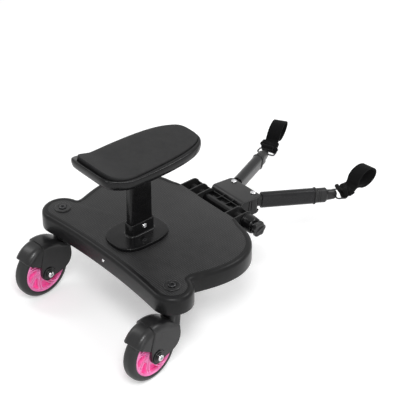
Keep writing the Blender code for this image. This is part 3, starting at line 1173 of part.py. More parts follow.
def build_hub(materials, hub):
    cap_low = CAP_TOP - CAP_THICKNESS
    roll = CAP_ROLL_RADIUS
    under = cap_low - GAP
    inner_roll = roll - CAP_THICKNESS - GAP
    roof = arc((HUB_REAR + roll, CAP_TOP - roll), inner_roll, pi / 2, pi, 4)
    profile = hub_profile(under) + roof + [(HUB_REAR, CAP_TOP - roll - GAP)]
    housing = prism("hub_housing", profile, -HUB_HALF_WIDTH, HUB_HALF_WIDTH, axis="X")

    left = EAR_INNER_LEFT + RUNNING
    right = EAR_INNER_RIGHT - RUNNING
    half_chord = acos(KNUCKLE_TOP / KNUCKLE_RADIUS)
    barrel = prism("barrel", arc((0, 0), KNUCKLE_RADIUS, pi / 2 + half_chord, 5 * pi / 2 - half_chord, 20),
                   left, right, axis="X")
    web = box("web", (left, 0, WEB_BOTTOM), (HUB_HALF_WIDTH, HUB_REAR + WEB_SINK, WEB_TOP))
    combine(housing, [barrel, web], "UNION")
    pitch = (right - left) / CELL_COUNT
    gussets = []
    roll_low = CAP_TOP - roll
    for k in range(1, CELL_COUNT):
        x = left + k * pitch
        outline = [(CELL_FRONT - CELL_WALL, KNUCKLE_TOP - CELL_DEPTH), (HUB_REAR + CUT_OVER, 0),
                   (HUB_REAR + CUT_OVER, roll_low - GUSSET_GAP), (HUB_REAR - GUSSET_GAP, roll_low - GUSSET_GAP),
                   (HUB_REAR - GUSSET_GAP, KNUCKLE_TOP + GUSSET_RISE), (CELL_FRONT, KNUCKLE_TOP)]
        gussets.append(prism("gusset", outline, x - CELL_WALL / 2, x + CELL_WALL / 2, axis="X"))
    combine(housing, gussets, "UNION")
    cutters = []
    for k in range(CELL_COUNT):
        low = left + k * pitch + CELL_WALL / 2
        high = left + (k + 1) * pitch - CELL_WALL / 2
        cutters.append(box("cell", (low, CELL_REAR, KNUCKLE_TOP - CELL_DEPTH),
                           (high, CELL_FRONT, KNUCKLE_TOP + CUT_OVER)))
    floor = HUB_BOTTOM + HUB_FLOOR
    pocket_radius = ARM_KNUCKLE_RADIUS + 2 * RUNNING
    for sign in SIDES.values():
        x = sign * PIVOT_X
        cutters.append(rod("pocket", [(pocket_radius, floor), (pocket_radius, under + CUT_OVER)], steps=32,
                           centre=(x, PIVOT_Y, 0)))
        near, far = sorted((sign * (HUB_HALF_WIDTH - SIDE_WALL), sign * (PIVOT_X - pocket_radius)))
        cutters.append(box("mouth", (near, PIVOT_Y, floor), (far, PIVOT_Y + MOUTH_REACH, under + CUT_OVER)))
        near, far = sorted((sign * (HUB_HALF_WIDTH + CUT_OVER), sign * (PIVOT_X - pocket_radius)))
        cutters.append(box("mouth", (near, SIDE_WALL_END, floor), (far, PIVOT_Y + MOUTH_REACH, under + CUT_OVER)))
        cutters.append(hub_corner(sign, HUB_CORNER_RADIUS, CAP_FRONT, floor, CAP_TOP + CUT_OVER))
        cutters.append(hub_corner(sign, HUB_HALF_WIDTH - PIVOT_X, PIVOT_Y + HUB_HALF_WIDTH - PIVOT_X,
                                  HUB_BOTTOM - CUT_OVER, floor))
        for y in SIDE_SLOTS:
            slot_low, slot_high = sorted((sign * (HUB_HALF_WIDTH - SIDE_SLOT_DEPTH),
                                          sign * (HUB_HALF_WIDTH + CUT_OVER)))
            middle = ARM_AXIS_Z
            cutters.append(box("slot", (slot_low, y - SIDE_SLOT_WIDTH / 2, middle - SIDE_SLOT_HEIGHT / 2),
                               (slot_high, y + SIDE_SLOT_WIDTH / 2, middle + SIDE_SLOT_HEIGHT / 2)))
        cutters.append(rod("screw_hole", [(CAP_SCREW_RADIUS + PIN_CLEARANCE, HUB_BOTTOM + CAP_SCREW_FLOOR),
                                          (CAP_SCREW_RADIUS + PIN_CLEARANCE, under + CUT_OVER)], steps=14,
                           centre=(x, PIVOT_Y, 0)))
    bore = HINGE_PIN_RADIUS + PIN_CLEARANCE
    cutters.append(rod("bore", [(bore, left - CUT_OVER), (bore, right + CUT_OVER)], axis="X"))
    combine(housing, cutters)
    finish(housing, materials["plastic"], hub)

    centre = (HUB_REAR + roll, CAP_TOP - roll)
    outer = arc(centre, roll, pi, pi / 2, 5)
    inner = arc(centre, roll - CAP_THICKNESS, pi / 2, pi, 5)
    chamfer = CAP_FRONT_CHAMFER
    front = [(CAP_FRONT - chamfer, CAP_TOP), (CAP_FRONT, CAP_TOP - chamfer), (CAP_FRONT, cap_low)]
    cap = prism("hub_cap", outer + front + inner, -HUB_HALF_WIDTH, HUB_HALF_WIDTH, axis="X")
    screw_bore = CAP_SCREW_RADIUS + PIN_CLEARANCE
    holes = [rod("hole", [(screw_bore, cap_low - CUT_OVER), (screw_bore, CAP_TOP + CUT_OVER)], steps=14,
                 centre=(sign * PIVOT_X, PIVOT_Y, 0)) for sign in SIDES.values()]
    holes += [hub_corner(sign, HUB_CORNER_RADIUS, CAP_FRONT, cap_low - CUT_OVER, CAP_TOP + CUT_OVER)
              for sign in SIDES.values()]
    combine(cap, holes)
    finish(cap, materials["plastic"], hub)
    for side, sign in SIDES.items():
        screw = socket_head("cap_screw_" + side, CAP_SCREW_HEAD_RADIUS, CAP_SCREW_HEAD_HEIGHT, CAP_SCREW_RADIUS,
                            CAP_TOP + GAP - HUB_BOTTOM - CAP_SCREW_FLOOR - RUNNING, "Z")
        finish(screw, materials["steel"], hub, (sign * PIVOT_X, PIVOT_Y, CAP_TOP + GAP))


# Arms
def oval_ring(width, height, y):
    return [(x, y, ARM_AXIS_Z + z) for x, z in stadium(width, height)]


def oval_bar(name, levels):
    """A solid bar along the arm from (width, height, y) levels."""
    return loft(name, [oval_ring(w, h, y) for w, h, y in levels])


def oval_tube(name, width, height, wall, start, end):
    """A tube along the arm, open at both ends."""
    inner_w, inner_h = width - 2 * wall, height - 2 * wall
    rings = [oval_ring(width, height, start), oval_ring(width, height, end),
             oval_ring(inner_w, inner_h, end), oval_ring(inner_w, inner_h, start)]
    return loft(name, rings, closed=True)


def slider_size():
    """Outer width and height of the inner tube: the arm tube less the walls and clearances round it."""
    shrink = 2 * (ARM_TUBE_WALL + GAP + COLLAR_WALL + RUNNING)
    return ARM_TUBE_WIDTH - shrink, ARM_TUBE_HEIGHT - shrink


def build_arm(side, materials, arm):
    floor = HUB_BOTTOM + HUB_FLOOR + RUNNING
    roof = CAP_TOP - CAP_THICKNESS - RUNNING
    root = rod("arm_root_" + side, [(ARM_KNUCKLE_RADIUS, floor), (ARM_KNUCKLE_RADIUS, roof)], steps=24)
    plug_w = ARM_TUBE_WIDTH - 2 * (ARM_TUBE_WALL + GAP)
    plug_h = ARM_TUBE_HEIGHT - 2 * (ARM_TUBE_WALL + GAP)
    height = 2 * (min(roof - ARM_AXIS_Z, ARM_AXIS_Z - floor) - ARM_NECK_SHY)
    neck = oval_bar("neck", [(ARM_NECK_WIDTH, height, ARM_NECK_START), (ARM_NECK_WIDTH, height, ARM_TUBE_START)])
    lead_w, lead_h = plug_w - PLUG_SHOULDER[0], plug_h - PLUG_SHOULDER[1]
    plug = oval_bar("plug", [(lead_w, lead_h, ARM_TUBE_START - PLUG_SHOULDER_BACK),
                             (lead_w, lead_h, ARM_TUBE_START + GAP),
                             (plug_w, plug_h, ARM_TUBE_START + PLUG_LEAD),
                             (plug_w, plug_h, ARM_TUBE_START + ARM_PLUG_LENGTH)])
    combine(root, [neck, plug], "UNION")
    bore = CAP_SCREW_RADIUS + PIN_CLEARANCE
    combine(root, [rod("bore", [(bore, floor - CUT_OVER), (bore, roof + CUT_OVER)], steps=14)])
    finish(root, materials["plastic"], arm)

    tube = oval_tube("arm_tube_" + side, ARM_TUBE_WIDTH, ARM_TUBE_HEIGHT, ARM_TUBE_WALL,
                     ARM_TUBE_START + 2 * GAP, ARM_LENGTH)
    finish(tube, materials["tube"], arm)

    slide_w, slide_h = slider_size()
    hole_w, hole_h = slide_w + 2 * RUNNING, slide_h + 2 * RUNNING
    face = ARM_LENGTH + GAP
    lip = 2 * COLLAR_LIP
    edge = COLLAR_EDGE_SHARE * lip
    sleeve_w, sleeve_h = hole_w + 2 * COLLAR_WALL, hole_h + 2 * COLLAR_WALL
    rings = [oval_ring(hole_w, hole_h, face - COLLAR_SLEEVE), oval_ring(sleeve_w, sleeve_h, face - COLLAR_SLEEVE),
             oval_ring(sleeve_w, sleeve_h, face), oval_ring(ARM_TUBE_WIDTH + edge, ARM_TUBE_HEIGHT + edge, face),
             oval_ring(ARM_TUBE_WIDTH + lip, ARM_TUBE_HEIGHT + lip, face + 0.3 * COLLAR_LENGTH),
             oval_ring(ARM_TUBE_WIDTH + lip, ARM_TUBE_HEIGHT + lip, face + 0.7 * COLLAR_LENGTH),
             oval_ring(ARM_TUBE_WIDTH, ARM_TUBE_HEIGHT, face + COLLAR_LENGTH),
             oval_ring(hole_w, hole_h, face + COLLAR_LENGTH)]
    collar = loft("arm_collar_" + side, rings, closed=True)
    finish(collar, materials["plastic"], arm)


def build_slider(side, materials, slider):
    slide_w, slide_h = slider_size()
    start = ARM_LENGTH + COLLAR_LENGTH + 2 * GAP
    tube = oval_tube("inner_tube_" + side, slide_w, slide_h, INNER_TUBE_WALL, INNER_TUBE_START, start - GAP)
    finish(tube, materials["tube"], slider)

    spigot_w = slide_w - 2 * (INNER_TUBE_WALL + GAP)
    spigot_h = slide_h - 2 * (INNER_TUBE_WALL + GAP)
    wide, tall = END_CAP_WIDTH, END_CAP_HEIGHT
    cut = 2 * END_CAP_GROOVE_DEPTH
    levels = [(spigot_w, spigot_h, start - SPIGOT_LENGTH), (spigot_w, spigot_h, start), (wide, tall, start)]
    for groove in END_CAP_GROOVES:
        low = start + groove
        levels += [(wide, tall, low), (wide - cut, tall - cut, low),
                   (wide - cut, tall - cut, low + END_CAP_GROOVE_WIDTH), (wide, tall, low + END_CAP_GROOVE_WIDTH)]
    end = start + END_CAP_LENGTH
    wider, taller, root = TIP_ROOT
    levels += [(wide, tall, end - END_CAP_CHAMFER), (TIP_WIDTH + wider, TIP_HEIGHT + taller, end),
               (TIP_WIDTH, TIP_HEIGHT, end + root)]
    levels += [(TIP_WIDTH * w, TIP_HEIGHT * h, TIP_END - back) for back, w, h in TIP_PROFILE]
    cap = oval_bar("end_cap_" + side, levels)
    hole = RING_WIRE + PIN_CLEARANCE
    cross = rod("hole", [(hole, -TIP_WIDTH), (hole, TIP_WIDTH)], steps=12, axis="X",
                centre=(0, RING_HOLE_Y, ARM_AXIS_Z))
    combine(cap, [cross])
    finish(cap, materials["plastic"], slider)


# Strap ring and strap
def build_ring(side, materials, hanger):
    """A closed loop of wire: its inner bar runs through the arm's tip and its outer bar holds the strap."""
    middle = RING_LENGTH / 2
    path = rounded_rectangle(2 * RING_HALF_WIDTH, RING_LENGTH, RING_CORNER, (0, middle), steps=2)
    count = len(path)
    rings = []
    for i, point in enumerate(path):
        ahead = Vector(path[(i + 1) % count]) - Vector(path[i - 1])
        normal = Vector((ahead.y, -ahead.x)).normalized()
        ring = []
        for k in range(6):
            a = tau * k / 6
            off = normal * RING_WIRE * cos(a)
            ring.append((point[0] + off.x, point[1] + off.y, RING_WIRE * sin(a)))
        rings.append(ring)
    ring = loft("strap_ring_" + side, rings, closed=True)
    finish(ring, materials["steel_black"], hanger)


def drop_outline(apex, middle, small, large, steps_small, steps_large):
    """Outline of a round loop and a small round end, joined by their outer tangents."""
    distance = hypot(middle[0] - apex[0], middle[1] - apex[1])
    heading = atan2(middle[1] - apex[1], middle[0] - apex[0])
    open_angle = acos((large - small) / distance)
    over = arc(middle, large, heading - pi + open_angle, heading + pi - open_angle, steps_large)
    tail = arc(apex, small, heading + pi - open_angle, heading + pi + open_angle, steps_small)
    return over + tail


def keyhole_outline(eye, middle, small, large, neck_half, flare_half):
    """Outline of a round loop on a stitched neck that ends in a small round eye."""
    heading = atan2(middle[1] - eye[1], middle[0] - eye[0])
    wide = asin(flare_half / large)
    narrow = asin(neck_half / small)
    loop = arc(middle, large, heading - pi + wide, heading + pi - wide, 20)
    end = arc(eye, small, heading + narrow, heading + tau - narrow, 7)
    return loop + end


def toward(start, angle, distance):
    return (start[0] + distance * cos(angle), start[1] + distance * sin(angle))


def twisted(strap, start, twist):
    """Turn the strap about the vertical, from nothing at the eye to the whole twist at the loop."""
    bm = bmesh.new()
    bm.from_mesh(strap.data)
    bmesh.ops.triangulate(bm, faces=bm.faces)
    pivot = Vector((0, start, 0))
    for vertex in bm.verts:
        share = min(1.0, max(0.0, (vertex.co.y - start) / TWIST_LENGTH))
        turn = Matrix.Rotation(twist * share, 3, "Z")
        vertex.co = pivot + turn @ (vertex.co - pivot)
    bm.to_mesh(strap.data)
    bm.free()


def build_strap(side, materials, hanger):
    bar = (RING_LENGTH, 0.0)
    middle = toward(bar, LOOP_RISE, LOOP_DISTANCE)
    half = STRAP_WIDTH / 2
    eye = RING_WIRE + RUNNING
    eye_outer = eye + STRAP_THICKNESS
    neck = STRAP_THICKNESS + GAP
    strap = prism("strap_loop_" + side, keyhole_outline(bar, middle, eye_outer, LOOP_RADIUS, neck, STRAP_FLARE),
                  -half, half, axis="X")
    flap_end = toward(bar, STRAP_FOLD_RISE, STRAP_FOLD_LENGTH)
    flap = prism("flap", drop_outline(bar, flap_end, eye_outer - GAP, eye_outer - 2 * GAP, 6, 6),
                 -half + STRAP_THICKNESS / 2, half - STRAP_THICKNESS / 2, axis="X")
    combine(strap, [flap], "UNION")
    inner = LOOP_RADIUS - STRAP_THICKNESS
    apex = toward(middle, LOOP_RISE + pi, inner + STRAP_THICKNESS)
    loop_hole = prism("loop_hole", drop_outline(apex, middle, STRAP_THICKNESS / 3, inner, 3, 18),
                      -half - CUT_OVER, half + CUT_OVER, axis="X")
    bar_hole = rod("bar_hole", [(eye, -half - CUT_OVER), (eye, half + CUT_OVER)], steps=12, axis="X",
                   centre=(0, *bar))
    combine(strap, [loop_hole, bar_hole])
    twisted(strap, bar[0] + eye_outer, LOOP_TWIST[side])
    finish(strap, materials["webbing"], hanger)


# Assembly
def centre_on_origin(root):
    """Move the assembly so that the middle of its bounding box's bottom is the world's origin."""
    bpy.context.view_layer.update()
    corners = [piece.matrix_world @ vertex.co for piece in bpy.data.objects if piece.type == "MESH"
               for vertex in piece.data.vertices]
    low = Vector(min(c[i] for c in corners) for i in range(3))
    high = Vector(max(c[i] for c in corners) for i in range(3))
    root.location = (-(low.x + high.x) / 2, -(low.y + high.y) / 2, -low.z)
    bpy.context.view_layer.update()


def report_joints():
    """Print where each joint stands, for the record."""
    for empty in bpy.data.objects:
        if empty.type == "EMPTY":
            x, y, z = empty.matrix_world.translation
            print("{:14s} {:9.5f} {:9.5f} {:9.5f}".format(empty.name, x, y, z))


def main():
    clear_scene()
    materials = {
        "deck": make_material("deck_plastic", DECK_GREY, 0.55),
        "plastic": make_material("black_plastic", BLACK_PLASTIC, 0.45),
        "fork": make_material("fork_plastic", BLACK_PLASTIC, 0.40),
        "satin": make_material("satin_black", SATIN_BLACK, 0.35),
        "gloss": make_material("seat_plastic", SATIN_BLACK, 0.25),
        "pad": make_material("pad_foam", PAD_GREY, 0.85),
        "tyre": make_material("tyre_rubber", TYRE_GREY, 0.65),
        "pink": make_material("pink_plastic", RIM_PINK, 0.35),
        "steel": make_material("bright_steel", STEEL, 0.25, 1.0),
        "steel_black": make_material("black_wire", SATIN_BLACK, 0.30, 0.8),
        "tube": make_material("painted_tube", TUBE_BLACK, 0.30, 0.3),
        "webbing": make_material("webbing", WEBBING, 0.90),
    }
    root = make_empty("ride_on_seat")
    build_deck_shell(materials["deck"], root)
    stand = make_empty("seat_stand", root, (0, FLANGE_Y, 0))
    build_flange(materials, stand)
    build_post(materials, stand)
    build_seat(materials, stand)
    washer_high = build_hinge(materials, root)
    knob = make_empty("knob_axis", root, (0, HINGE_Y, HINGE_Z))
    build_knob(materials, knob, washer_high)
    hub = make_empty("hub_axis", root, (0, HINGE_Y, HINGE_Z), (HUB_PITCH, 0, 0))
    build_hub(materials, hub)
    for side, sign in SIDES.items():
        build_caster_bolts(side, sign, materials, root)
        caster = make_empty("caster_" + side, root, (sign * KINGPIN_X, 0, 0), (0, 0, SWIVEL[side]))
        build_fork(side, materials, caster)
        build_axle(side, materials, caster)
        wheel = make_empty("wheel_" + side, caster, (0, -TRAIL, AXLE_Z))
        build_wheel(side, materials, wheel)
        arm = make_empty("arm_" + side, hub, (sign * PIVOT_X, PIVOT_Y, 0), (0, 0, -sign * ARM_SPLAY))
        build_arm(side, materials, arm)
        slider = make_empty("slider_" + side, arm)
        build_slider(side, materials, slider)
        hanger = make_empty("strap_" + side, slider, (0, RING_HOLE_Y, ARM_AXIS_Z))
        build_ring(side, materials, hanger)
        build_strap(side, materials, hanger)
    centre_on_origin(root)
    report_joints()


main()
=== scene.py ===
# %% [markdown]
# # A ride-on seat on a wheeled board, dressed for its portrait
# The object is a small black board on two caster wheels, with a saddle on a post and two
# telescopic arms that end in web loops. The CAD model already has every piece at its real
# place. Here each piece that the eye rests on gets its true curves, and each surface gets
# its finish. All shapes are worked out in millimetres, and the function that makes a mesh
# turns them into metres.

# %% Load the frame
import json

import bmesh
import bpy
import numpy as np
from mathutils import Matrix, Vector


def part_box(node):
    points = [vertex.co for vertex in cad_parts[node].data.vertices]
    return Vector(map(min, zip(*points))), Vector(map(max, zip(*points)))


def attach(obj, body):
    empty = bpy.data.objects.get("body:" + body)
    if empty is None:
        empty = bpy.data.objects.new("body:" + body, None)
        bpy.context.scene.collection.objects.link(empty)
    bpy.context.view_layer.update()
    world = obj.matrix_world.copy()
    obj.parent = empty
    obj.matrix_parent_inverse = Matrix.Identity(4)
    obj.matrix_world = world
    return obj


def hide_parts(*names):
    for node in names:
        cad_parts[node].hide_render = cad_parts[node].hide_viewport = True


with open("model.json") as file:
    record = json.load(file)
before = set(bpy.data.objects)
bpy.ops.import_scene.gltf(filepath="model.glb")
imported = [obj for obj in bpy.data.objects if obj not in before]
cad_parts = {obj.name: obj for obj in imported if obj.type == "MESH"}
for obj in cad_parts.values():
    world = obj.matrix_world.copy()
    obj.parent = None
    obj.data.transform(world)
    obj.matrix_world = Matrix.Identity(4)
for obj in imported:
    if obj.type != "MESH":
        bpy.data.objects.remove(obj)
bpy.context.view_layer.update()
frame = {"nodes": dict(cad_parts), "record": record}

# %% [markdown]
# ## Where things are
# Three CAD frames matter: the kingpin line, on which the board was drawn, the hinge with the
# hub and arms, and the two casters. The kingpin line is found from the boxes of the CAD nodes
# and the others are set out from it, so they follow the model.

# %% Frames of the moving parts
MM = 0.001
KINGPIN_X, DECK_TOP = 150.0, 156.5
TRAIL, AXLE_Z = 56.0, 53.5
PIVOT_X, PIVOT_Y = 25.4, 60.0
RING_HOLE_Y, ARM_AXIS_Z = 159.3, -1.5
SIDES = {"left": -1, "right": 1}
SWIVEL = {"left": 3, "right": 6}


def at(x, y, z):
    """A shift, given in millimetres."""
    return Matrix.Translation((x * MM, y * MM, z * MM))


def spin(degrees, axis):
    """A turn about an axis of the frame."""
    return Matrix.Rotation(np.radians(degrees), 4, axis)


bolt_low, bolt_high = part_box("kingpin_bolt_left")
deck_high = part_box("deck_shell")[1]
BOARD = Matrix.Translation((0, (bolt_low.y + bolt_high.y) / 2, deck_high.z - DECK_TOP * MM))
HINGE = BOARD @ at(0, 235, 139)
HUB = HINGE @ spin(-6, "X")
STAND = BOARD @ at(0, 48, 0)
LOBES = {side: BOARD @ at(sign * KINGPIN_X, 0, 0) for side, sign in SIDES.items()}
CASTERS = {side: LOBES[side] @ spin(SWIVEL[side], "Z") for side in SIDES}
WHEELS = {side: CASTERS[side] @ at(0, -TRAIL, AXLE_Z) for side in SIDES}
PIVOTS = {side: HUB @ at(sign * PIVOT_X, PIVOT_Y, 0) for side, sign in SIDES.items()}
ARMS = {side: PIVOTS[side] @ spin(-sign * 25, "Z") for side, sign in SIDES.items()}
STRAPS = {side: ARMS[side] @ at(0, RING_HOLE_Y, ARM_AXIS_Z) for side in SIDES}
print("board origin", [round(v, 5) for v in BOARD.translation])

# %% [markdown]
# ## Camera
# The photograph was taken from behind on the right and well above, with a long lens. The
# place, the turn and the lens were worked out from the bolts, the hub screws and the wheels.

# %% Camera
TURN, RISE = np.radians(48.981), np.radians(34.067)


def link_object(name, data):
    """Make an object of a mesh, lamp or camera and put it in the scene."""
    thing = bpy.data.objects.new(name, data)
    bpy.context.collection.objects.link(thing)
    return thing


camera = link_object("camera", bpy.data.cameras.new("camera"))
camera.data.lens, camera.data.sensor_width, camera.data.clip_start = 129.47, 36.0, 0.1
back = Vector((np.sin(TURN) * np.cos(RISE), -np.cos(TURN) * np.cos(RISE), np.sin(RISE)))
right = Vector((np.cos(TURN), np.sin(TURN), 0))
turn = Matrix((right, back.cross(right), back)).transposed().to_4x4()
camera.matrix_world = BOARD @ at(1592.95, -1194.32, 1592.84) @ turn
bpy.context.scene.camera = camera
print("camera at", [round(v, 3) for v in camera.matrix_world.translation])

# %% [markdown]
# ## Shapes as grids
# Almost every new piece is a grid of points: rows along it, columns around it. Turned parts,
# tubes, straps and the saddle only differ in the formula that fills the grid.

# %% Grid to mesh
def grid_mesh(name, points, along=False, caps=None, u=None, v=None):
    """Join the neighbours of a grid [row, column, xyz] with quads, the last column to the first and, with along,
    the last row to the first. Caps close the end rows: "flat" with one face each, "strips" with quads that run
    straight across and follow a bend."""
    rows, cols = points.shape[:2]
    i = np.arange(rows if along else rows - 1)[:, None]
    j = np.arange(cols)[None, :]
    k, m = (i + 1) % rows, (j + 1) % cols
    faces = np.stack([i * cols + j, i * cols + m, k * cols + m, k * cols + j], -1).reshape(-1, 4).tolist()
    last = (rows - 1) * cols
    if caps == "flat":
        faces += [np.arange(cols)[::-1].tolist(), (np.arange(cols) + last).tolist()]
    if caps == "strips":
        half = cols // 2
        k = np.arange(-(cols // 4), cols // 4 - 1)
        strip = np.stack([k, k + 1, half - 2 - k, half - 1 - k], -1) % cols
        faces += np.vstack([strip, strip + last]).tolist()
    mesh = bpy.data.meshes.new(name)
    mesh.from_pydata((points.reshape(-1, 3) * MM).tolist(), [], faces)
    if u is not None:
        i, j = np.broadcast_arrays(i, j)
        corners = [np.stack([u[i + a], v[j + b]], -1) * MM for a, b in ((0, 0), (0, 1), (1, 1), (1, 0))]
        flat = np.zeros((len(mesh.loops), 2))
        flat[:4 * i.size] = np.stack(corners, 2).reshape(-1, 2)
        mesh.uv_layers.new(name="thread").data.foreach_set("uv", flat.ravel())
    return mesh


# %% Closing, placing and riding
def close(mesh, sharp=38):
    """Merge doubled points at seams and poles, turn the faces outwards and shade smoothly but for hard edges."""
    bm = bmesh.new()
    bm.from_mesh(mesh)
    bmesh.ops.remove_doubles(bm, verts=bm.verts, dist=1e-6)
    bmesh.ops.dissolve_degenerate(bm, edges=bm.edges, dist=1e-7)
    bmesh.ops.recalc_face_normals(bm, faces=bm.faces)
    bm.to_mesh(mesh)
    bm.free()
    mesh.shade_smooth()
    mesh.set_sharp_from_angle(angle=np.radians(sharp))
    return mesh


made = {}


def piece(name, mesh, place, body, finish, *nodes, sharp=38):
    """Place a mesh by a matrix, make it an object that rides on a body, and let it stand for CAD nodes."""
    close(mesh, sharp)
    mesh.transform(place)
    thing = link_object(name, mesh)
    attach(thing, body)
    if nodes:
        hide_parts(*nodes)
    made[name] = (thing, finish)
    return thing


def pair(name, shape, places, body, finish, *nodes, shift=(0, 0, 0), sharp=38):
    """The same piece left and right. A star in a name stands for the side; the shape is a mesh to copy or a
    function that makes one for a side."""
    for side in SIDES:
        mesh = shape(side) if callable(shape) else shape.copy()
        name_here, body_here, *nodes_here = (text.replace("*", side) for text in (name, body, *nodes))
        piece(name_here, mesh, places[side] @ at(*shift), body_here, finish, *nodes_here, sharp=sharp)


# %% Turned parts
AXES = {"Z": (0, 1, 2), "X": (2, 0, 1), "Y": (1, 2, 0)}


def turned(name, profile, steps, axis="Z", shape=None, closed=False, centre=0.0):
    """Turn a profile of (radius, height, share) round an axis: the radius is multiplied by
    1 + share * (shape(angle) - 1), so a share of 0 is round and 1 takes the whole shape."""
    rows = np.asarray(profile, float)
    angle = np.linspace(0, 2 * np.pi, steps, endpoint=False)[None, :]
    share = rows[:, 2:3] if rows.shape[1] > 2 else np.zeros((len(rows), 1))
    radius = rows[:, :1] * (1 + share * ((shape(angle) if shape else np.ones_like(angle)) - 1))
    height = np.broadcast_to(rows[:, 1:2] + centre, radius.shape)
    parts = [radius * np.cos(angle), radius * np.sin(angle), height]
    return grid_mesh(name, np.stack([parts[k] for k in AXES[axis]], -1), along=closed)


# %% [markdown]
# ## Tyres
# The tyres are solid rubber with a rounded tread. A profile is turned round the axle: a narrow
# flat band in the middle of the tread, and a soft shoulder on each side down to the rim. A
# torus would be quicker, but it can't have the flat band and the straight foot.

# %% Tyres
WHEEL_RADIUS, RIM_RADIUS = 53.5, 41.5
RIM_HALF, TYRE_HALF, TREAD_FLAT = 12.8, 12.9, 2.5


def tyre_profile():
    """Half of the tread: radius and half-width go round a quarter of an ellipse between band and sidewall."""
    turn = np.radians(np.linspace(0, 84, 16))
    base = RIM_RADIUS + 2.0
    radius = base + (WHEEL_RADIUS - base) * np.cos(turn)
    width = TREAD_FLAT + (TYRE_HALF - TREAD_FLAT) * np.sin(turn)
    foot = [(RIM_RADIUS + 1.6, TYRE_HALF - 0.15), (RIM_RADIUS + 0.3, TYRE_HALF - 0.9)]
    half = np.vstack([np.stack([radius, width], -1), foot])
    return np.vstack([half[::-1] * (1, -1), half])


pair("tyre_*_rubber", turned("tyre", tyre_profile(), 160, "X", closed=True), WHEELS, "wheel_*", "tyre_rubber",
     "tyre_*")
print("tyre rows", len(tyre_profile()))

# %% [markdown]
# ## Rims
# The pink rims have eight swirled windows with a thin slot between each two, so the ribs come
# in pairs. Booleans could cut them out of a disc, but they leave ragged faces. Here the face is
# a polar grid whose lines follow the swirl and the window edges, and a depth steps down across
# one narrow band of the grid, so every wall is clean and has its own soft corners.

# %% Rims
WINDOWS, WINDOW_INNER, WINDOW_OUTER, WINDOW_DEPTH = 8, 19.8, 36.8, 6.2
SLOT_INNER, SLOT_OUTER, SLOT_HALF, SLOT_SHARE = 15.2, 35.2, 1.15, 0.55
WALL, WEB_DROP = 0.8, 2.0
RING_FOOT, RING_EDGE = 38.0, 39.2
HUB_BORE, WEB_BORE = 11.3, 9.0
LAND = RIM_HALF - 7.3
SWIRL, PHASE = np.radians(23), np.radians(-21.3)


def between_knots(counts, knots):
    """Subdivide the stretch between each two knots into equal parts, for knots that are columns of a table."""
    starts = np.cumsum([0] + list(counts))
    spots = np.arange(starts[-1] + 1)
    return np.stack([np.interp(spots, starts, row) for row in np.atleast_2d(knots)])


def corner_cut(radius, inner, outer, corner):
    """How much a window's side draws in near its ends, so that its corners are round."""
    near = np.clip(np.minimum(radius - inner, outer - radius) / corner, 0, 1)
    return corner * (1 - np.sqrt(1 - (1 - near) ** 2))


def rim_face():
    """Grid of radius and angle with the share of depth: the angle knots of one window are the slot's side,
    the window's side and their walls, and every line turns forward with the swirl."""
    window_ends = [WINDOW_INNER, WINDOW_INNER + WALL, WINDOW_OUTER - WALL / 2, WINDOW_OUTER + WALL / 2]
    slot_ends = [SLOT_INNER, SLOT_INNER + WALL, SLOT_OUTER - WALL, SLOT_OUTER]
    ends = [HUB_BORE, HUB_BORE + 1, *slot_ends[:2], *window_ends[:2], *slot_ends[2:], *window_ends[2:],
            RING_FOOT, RING_EDGE, RIM_RADIUS - 1.4]
    radius = between_knots([1, 3, 2, 4, 2, 16, 2, 1, 2, 1, 3, 2], ends)[0]
    half = np.interp(radius, [WINDOW_INNER, WINDOW_OUTER - 3], np.radians([11.5, 14.2]))
    half = half - corner_cut(radius, WINDOW_INNER, WINDOW_OUTER, 3.0) / radius
    slot = (SLOT_HALF - 0.6 * corner_cut(radius, SLOT_INNER, SLOT_OUTER, 1.6)) / radius
    soft = WALL / radius / 2
    share = np.pi / WINDOWS
    sides = [half + soft, share - slot - soft, share - slot + soft, share + 0 * half]
    knots = [*(-side for side in sides[::-1]), -half + soft, half - soft, *sides]
    counts = [1, 1, 3, 2, 8, 2, 3, 1, 1]
    angle = between_knots(counts, np.stack(knots, -1))
    window = between_knots(counts, [0, 0, 0, 0, 1, 1, 0, 0, 0, 0])[0]
    slit = between_knots(counts, [1, 1, 0, 0, 0, 0, 0, 0, 1, 1])[0]
    depth = (np.interp(radius, window_ends, [0, 1, 1, 0])[:, None] * window
             + SLOT_SHARE * np.interp(radius, slot_ends, [0, 1, 1, 0])[:, None] * slit)
    swirl = PHASE + SWIRL * (radius - 16.7) / 18.5
    turns = np.arange(WINDOWS) * 2 * share
    angle = (angle[:, None, :-1] + turns[None, :, None]).reshape(len(radius), -1) + swirl[:, None]
    return radius, angle, np.tile(depth[:, :-1], (1, WINDOWS))


